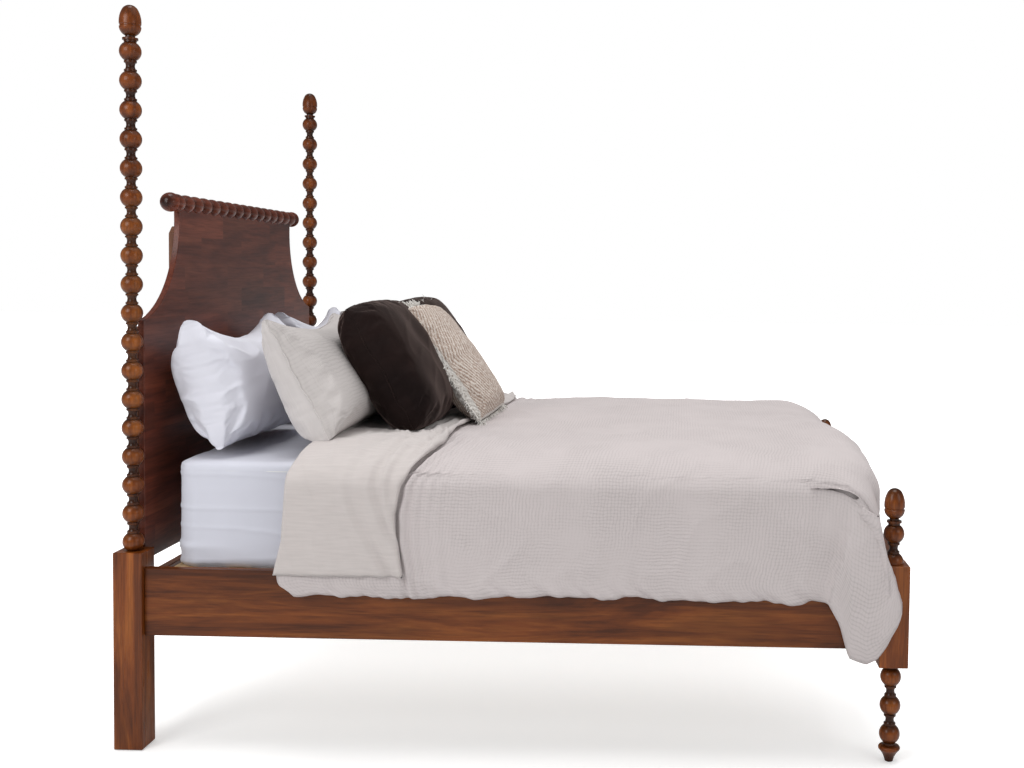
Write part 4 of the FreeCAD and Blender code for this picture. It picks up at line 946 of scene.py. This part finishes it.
def welt(name, middle, out, radius, finish):
    """The seam allowance as a thin round cord along the cushion's whole edge."""
    loop = seam_of(middle)
    away = unit(loop - middle[PILLOW_HEART])
    angle = np.linspace(0, 2 * np.pi, 7)[:6]
    ring = np.cos(angle)[:, None] * away[:, None] + np.sin(angle)[:, None] * out
    flat = np.dstack(np.meshgrid(angle * radius, np.arange(len(loop)) * 0.02))
    cord = surface(name, loop[:, None] + radius * ring, finish, around=True, flat=flat)
    close_seams(cord)
    return cord


def make_pillow(name, node, slot, fill, filling, finish, face_finish=None, cord=None, **form):
    """Shapes, sews and fills one cushion, and lays a cord of the given radius in its seam. A
    face of another cloth has its threads turned. Gives the seam's surface and its facing."""
    middle, out, half, flat = pillow_shape(node, **form)
    piece = shell(name, middle, out, half, finish, flat[..., ::-1] if face_finish else flat, face_finish)
    stuff(piece, *filling)
    round_off = piece.modifiers.new("fine", "SUBSURF")
    round_off.levels = round_off.render_levels = 1
    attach(piece, "root")
    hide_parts(node)
    if cord:
        seam = welt(name.replace("cushion", "seam"), middle, out[0, 0], cord, finish)
        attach(seam, "root")
    return middle, out[0, 0]


# Two sleeping pillows in white percale, at the back, slack enough to stand up at the corners.
SIDES = ("right", "left")
white = percale_finish("pillow_percale", (0.705, 0.705, 0.775))
for number, side in enumerate(SIDES):
    make_pillow(f"sleeping_cushion_{side}", f"sleeping_pillow_{side}", "white_cotton", 0.6,
                (2.0, 0.09, 0.014), white, shift=(0.010, 0.0, 0.016), lean=14, across=0.680, tall=0.370,
                thick=0.220, crown=(0.40, 0.50), corner=0.06, slump=-0.22, sag=0.035, ear=0.030,
                wrinkle=0.003, seed=40 + 10 * number)

# Two shams before them, in a stone-coloured gauze, with a plain back.
sham_gauze = gauze_finish("sham_gauze", (0.520, 0.486, 0.474), 0.0090, 0.6)
sham_plain = washed_finish("sham_plain", (0.590, 0.552, 0.542))
for number, side in enumerate(SIDES):
    make_pillow(f"sham_cushion_{side}", f"sham_pillow_{side}", "sham_linen", 0.65, (2.0, 0.04, 0.006),
                sham_plain, sham_gauze, cord=0.0022, shift=(0.033, 0.0, 0.002), lean=29, across=0.680,
                tall=0.385, thick=0.195, crown=(0.30, 0.50), pull=0.04, slump=0.30, sag=0.035,
                ear=0.010, wrinkle=0.002, seed=60 + 10 * number)


# Two square cushions in dark brown cotton velvet, with a knife edge.
def velvet_finish():
    """Cotton velvet: nearly black brown, with a pale sheen where the pile leans away."""
    finish, tree, body = shader_tree("velvet")
    brushed = noise(tree, cloth_place(tree), 6.0, 4.0, Distortion=1.0)
    shade = ramp(tree, brushed, [(0.35, (0.0065, 0.0028, 0.0025)), (0.68, (0.015, 0.0070, 0.0060))])
    pile = noise(tree, cloth_place(tree), 900.0, 2.0)
    plug(tree, body, {"Base Color": shade, "Normal": bumps(tree, pile, 0.35, 0.0006), "Roughness": 0.65,
                      "Specular IOR Level": 0.1, "Sheen Weight": 0.30, "Sheen Roughness": 0.38,
                      "Sheen Tint": (0.62, 0.45, 0.40, 1)})
    return finish


velvet = velvet_finish()
for number, side in enumerate(SIDES):
    make_pillow(f"velvet_cushion_{side}", f"velvet_pillow_{side}", "brown_velvet", 0.75,
                (2.0, 0.04, 0.010), velvet, cord=0.0018, shift=(0.006, 0.010 - 0.04 * number, 0.009),
                lean=30, across=0.500, tall=0.450, thick=0.195, crown=(0.48, 0.46), pull=0.0,
                corner=0.12, wrinkle=0.003, seed=80 + 10 * number)


# One accent cushion in front, woven in tan and ivory diamonds, with a crocheted ivory border, a
# fringe of loose yarn in its seam and a tassel on each corner.
ACCENT_WIDE, ACCENT_TALL, BORDER_WIDE = 0.450, 0.465, 0.030
TAN_YARN, MID_YARN, IVORY_YARN = (0.30, 0.205, 0.160), (0.45, 0.350, 0.290), (0.66, 0.595, 0.540)
DIAMOND_PITCH, LOOPS, HOLES = 0.021, 170.0, 95.0
YARN_POINTS, YARN_SIDES, YARN_THICK = 8, 5, 0.0018
YARN_CURL, YARN_SAG, YARN_ASTRAY = 0.09, 0.25, 0.22
FRINGE_ENDS, TASSEL_ENDS, AHEAD = 1500, 26, 0.004
FRINGE_LONG, TASSEL_LONG = (0.016, 0.027), (0.034, 0.050)


def woven_finish():
    """Hand-woven chenille: rows of ivory loops on tan that follow nested squares set on edge,
    and near the seam an ivory crochet with small dark holes."""
    finish, tree, body = shader_tree("diamond_weave")
    cloth = cloth_place(tree)
    wander = noise(tree, cloth, 60.0, 3.0, "Color")
    shift = add(tree, "VectorMath", {0: wander, 1: (0.010, 0.010, 0.0)}, operation="MULTIPLY")
    moved = axes(tree, add(tree, "VectorMath", {0: cloth, 1: shift}, operation="ADD"))
    sizes = [maths(tree, "ABSOLUTE", moved[letter]) for letter in "XY"]
    rows = maths(tree, "MULTIPLY", maths(tree, "ADD", *sizes), 2 * math.pi / DIAMOND_PITCH)
    loops = add(tree, "TexVoronoi", {0: cloth, "Scale": LOOPS})
    height = maths(tree, "MULTIPLY_ADD", maths(tree, "SINE", rows), 0.28, loops)
    reach = [maths(tree, "SUBTRACT", size, CLOTH_SPARE / 2 * side - BORDER_WIDE)
             for size, side in zip(sizes, (ACCENT_WIDE, ACCENT_TALL))]
    in_border = spread(tree, maths(tree, "MAXIMUM", *reach), 0.0, 0.002, 0.0, 1.0)
    holes = add(tree, "TexVoronoi", {0: cloth, "Scale": HOLES, "Randomness": 0.5})
    weave = ramp(tree, height, [(0.05, TAN_YARN), (0.40, MID_YARN), (0.85, IVORY_YARN)])
    crochet = ramp(tree, holes, [(0.12, (0.30, 0.25, 0.21)), (0.26, (0.72, 0.69, 0.65))])
    plug(tree, body, {"Base Color": add(tree, "Mix", {0: in_border, 6: weave, 7: crochet}, 2,
                                        data_type="RGBA"),
                      "Normal": bumps(tree, height, 0.8, 0.003), "Roughness": 0.95})
    return finish


def yarn_finish():
    """Soft ivory yarn, uneven along its twist."""
    finish, tree, body = shader_tree("ivory_yarn")
    twist = add(tree, "TexNoise", {0: object_place(tree), "Scale": 300.0})
    plug(tree, body, {"Base Color": ramp(tree, twist, [(0.3, (0.60, 0.57, 0.53)), (0.7, (0.76, 0.74, 0.71))]),
                      "Roughness": 0.95, "Sheen Weight": 0.2})
    return finish


def yarns(name, starts, ways, lengths, sideways, out):
    """Loose ends of yarn in one mesh: each runs from its start along its way, curls to both
    sides as a sine of the distance and sags with its square, and is a tube closed to a point."""
    dice = np.random.default_rng(111)
    count = len(starts)
    share = np.linspace(0, 1, YARN_POINTS)[None, :, None]
    curl = dice.normal(0, YARN_CURL, (2, count, 1, 1))
    phase = dice.uniform(0, 2 * np.pi, (2, count, 1, 1))
    reach = lengths[:, None, None] * share
    line = starts[:, None] + ways[:, None] * reach
    for axis, size, begin in zip((sideways[:, None], out[None, None]), curl, phase):
        line = line + axis * lengths[:, None, None] * size * (np.sin(6 * share + begin) - np.sin(begin))
    line[..., 2] -= (YARN_SAG * reach * share)[..., 0]
    angle = np.linspace(0, 2 * np.pi, YARN_SIDES + 1)[:-1]
    ring = np.cos(angle)[:, None] * sideways[:, None, None] + np.sin(angle)[:, None] * out
    points = line[:, :, None] + YARN_THICK * np.sqrt(np.sin(np.pi * share ** 0.7))[..., None] * ring
    index = np.arange(points.size // 3).reshape(points.shape[:3])
    faces = squares(np.concatenate([index, index[..., :1]], -1))
    piece = smooth_piece(name, points, faces, yarn_finish())
    close_seams(piece)
    return piece


def make_fringe(middle, out):
    """Yarn ends along the whole seam, and a longer bundle on each corner."""
    dice = np.random.default_rng(110)
    loop = seam_of(middle)
    walked = walk_of(loop)
    at = (np.arange(FRINGE_ENDS) + dice.random(FRINGE_ENDS)) / FRINGE_ENDS * walked[-1]
    starts, beyond = [np.stack([np.interp(place, walked, line, period=period) for line in loop.T], -1)
                      for place, period in ((at, None), (at + AHEAD, walked[-1]))]
    ahead = unit(beyond - starts)
    bundle = np.repeat(middle[[0, -1, -1, 0], [0, 0, -1, -1]], TASSEL_ENDS, 0)
    diagonal = unit(bundle - middle[PILLOW_HEART])
    ways = np.vstack([np.cross(ahead, out), diagonal + YARN_ASTRAY * dice.normal(size=diagonal.shape)])
    ways[:FRINGE_ENDS] += YARN_ASTRAY * dice.normal(size=(FRINGE_ENDS, 3))
    lengths = np.concatenate([dice.uniform(*FRINGE_LONG, FRINGE_ENDS),
                              dice.uniform(*TASSEL_LONG, len(bundle))])
    sideways = np.vstack([ahead, np.cross(diagonal, out)])
    return yarns("accent_fringe", np.vstack([starts, bundle]), ways, lengths, sideways, out)


accent_middle, accent_facing = make_pillow(
    "accent_cushion", "accent_pillow", "woven_accent", 0.7, (1.5, 0.03, 0.008), woven_finish(),
    shift=(-0.036, 0.0, 0.014), lean=37, across=ACCENT_WIDE, tall=ACCENT_TALL, thick=0.125,
    crown=(0.5, 0.52), pull=0.0, corner=0.03, wrinkle=0.002, seed=100)
fringe = make_fringe(accent_middle, accent_facing)
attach(fringe, "root")
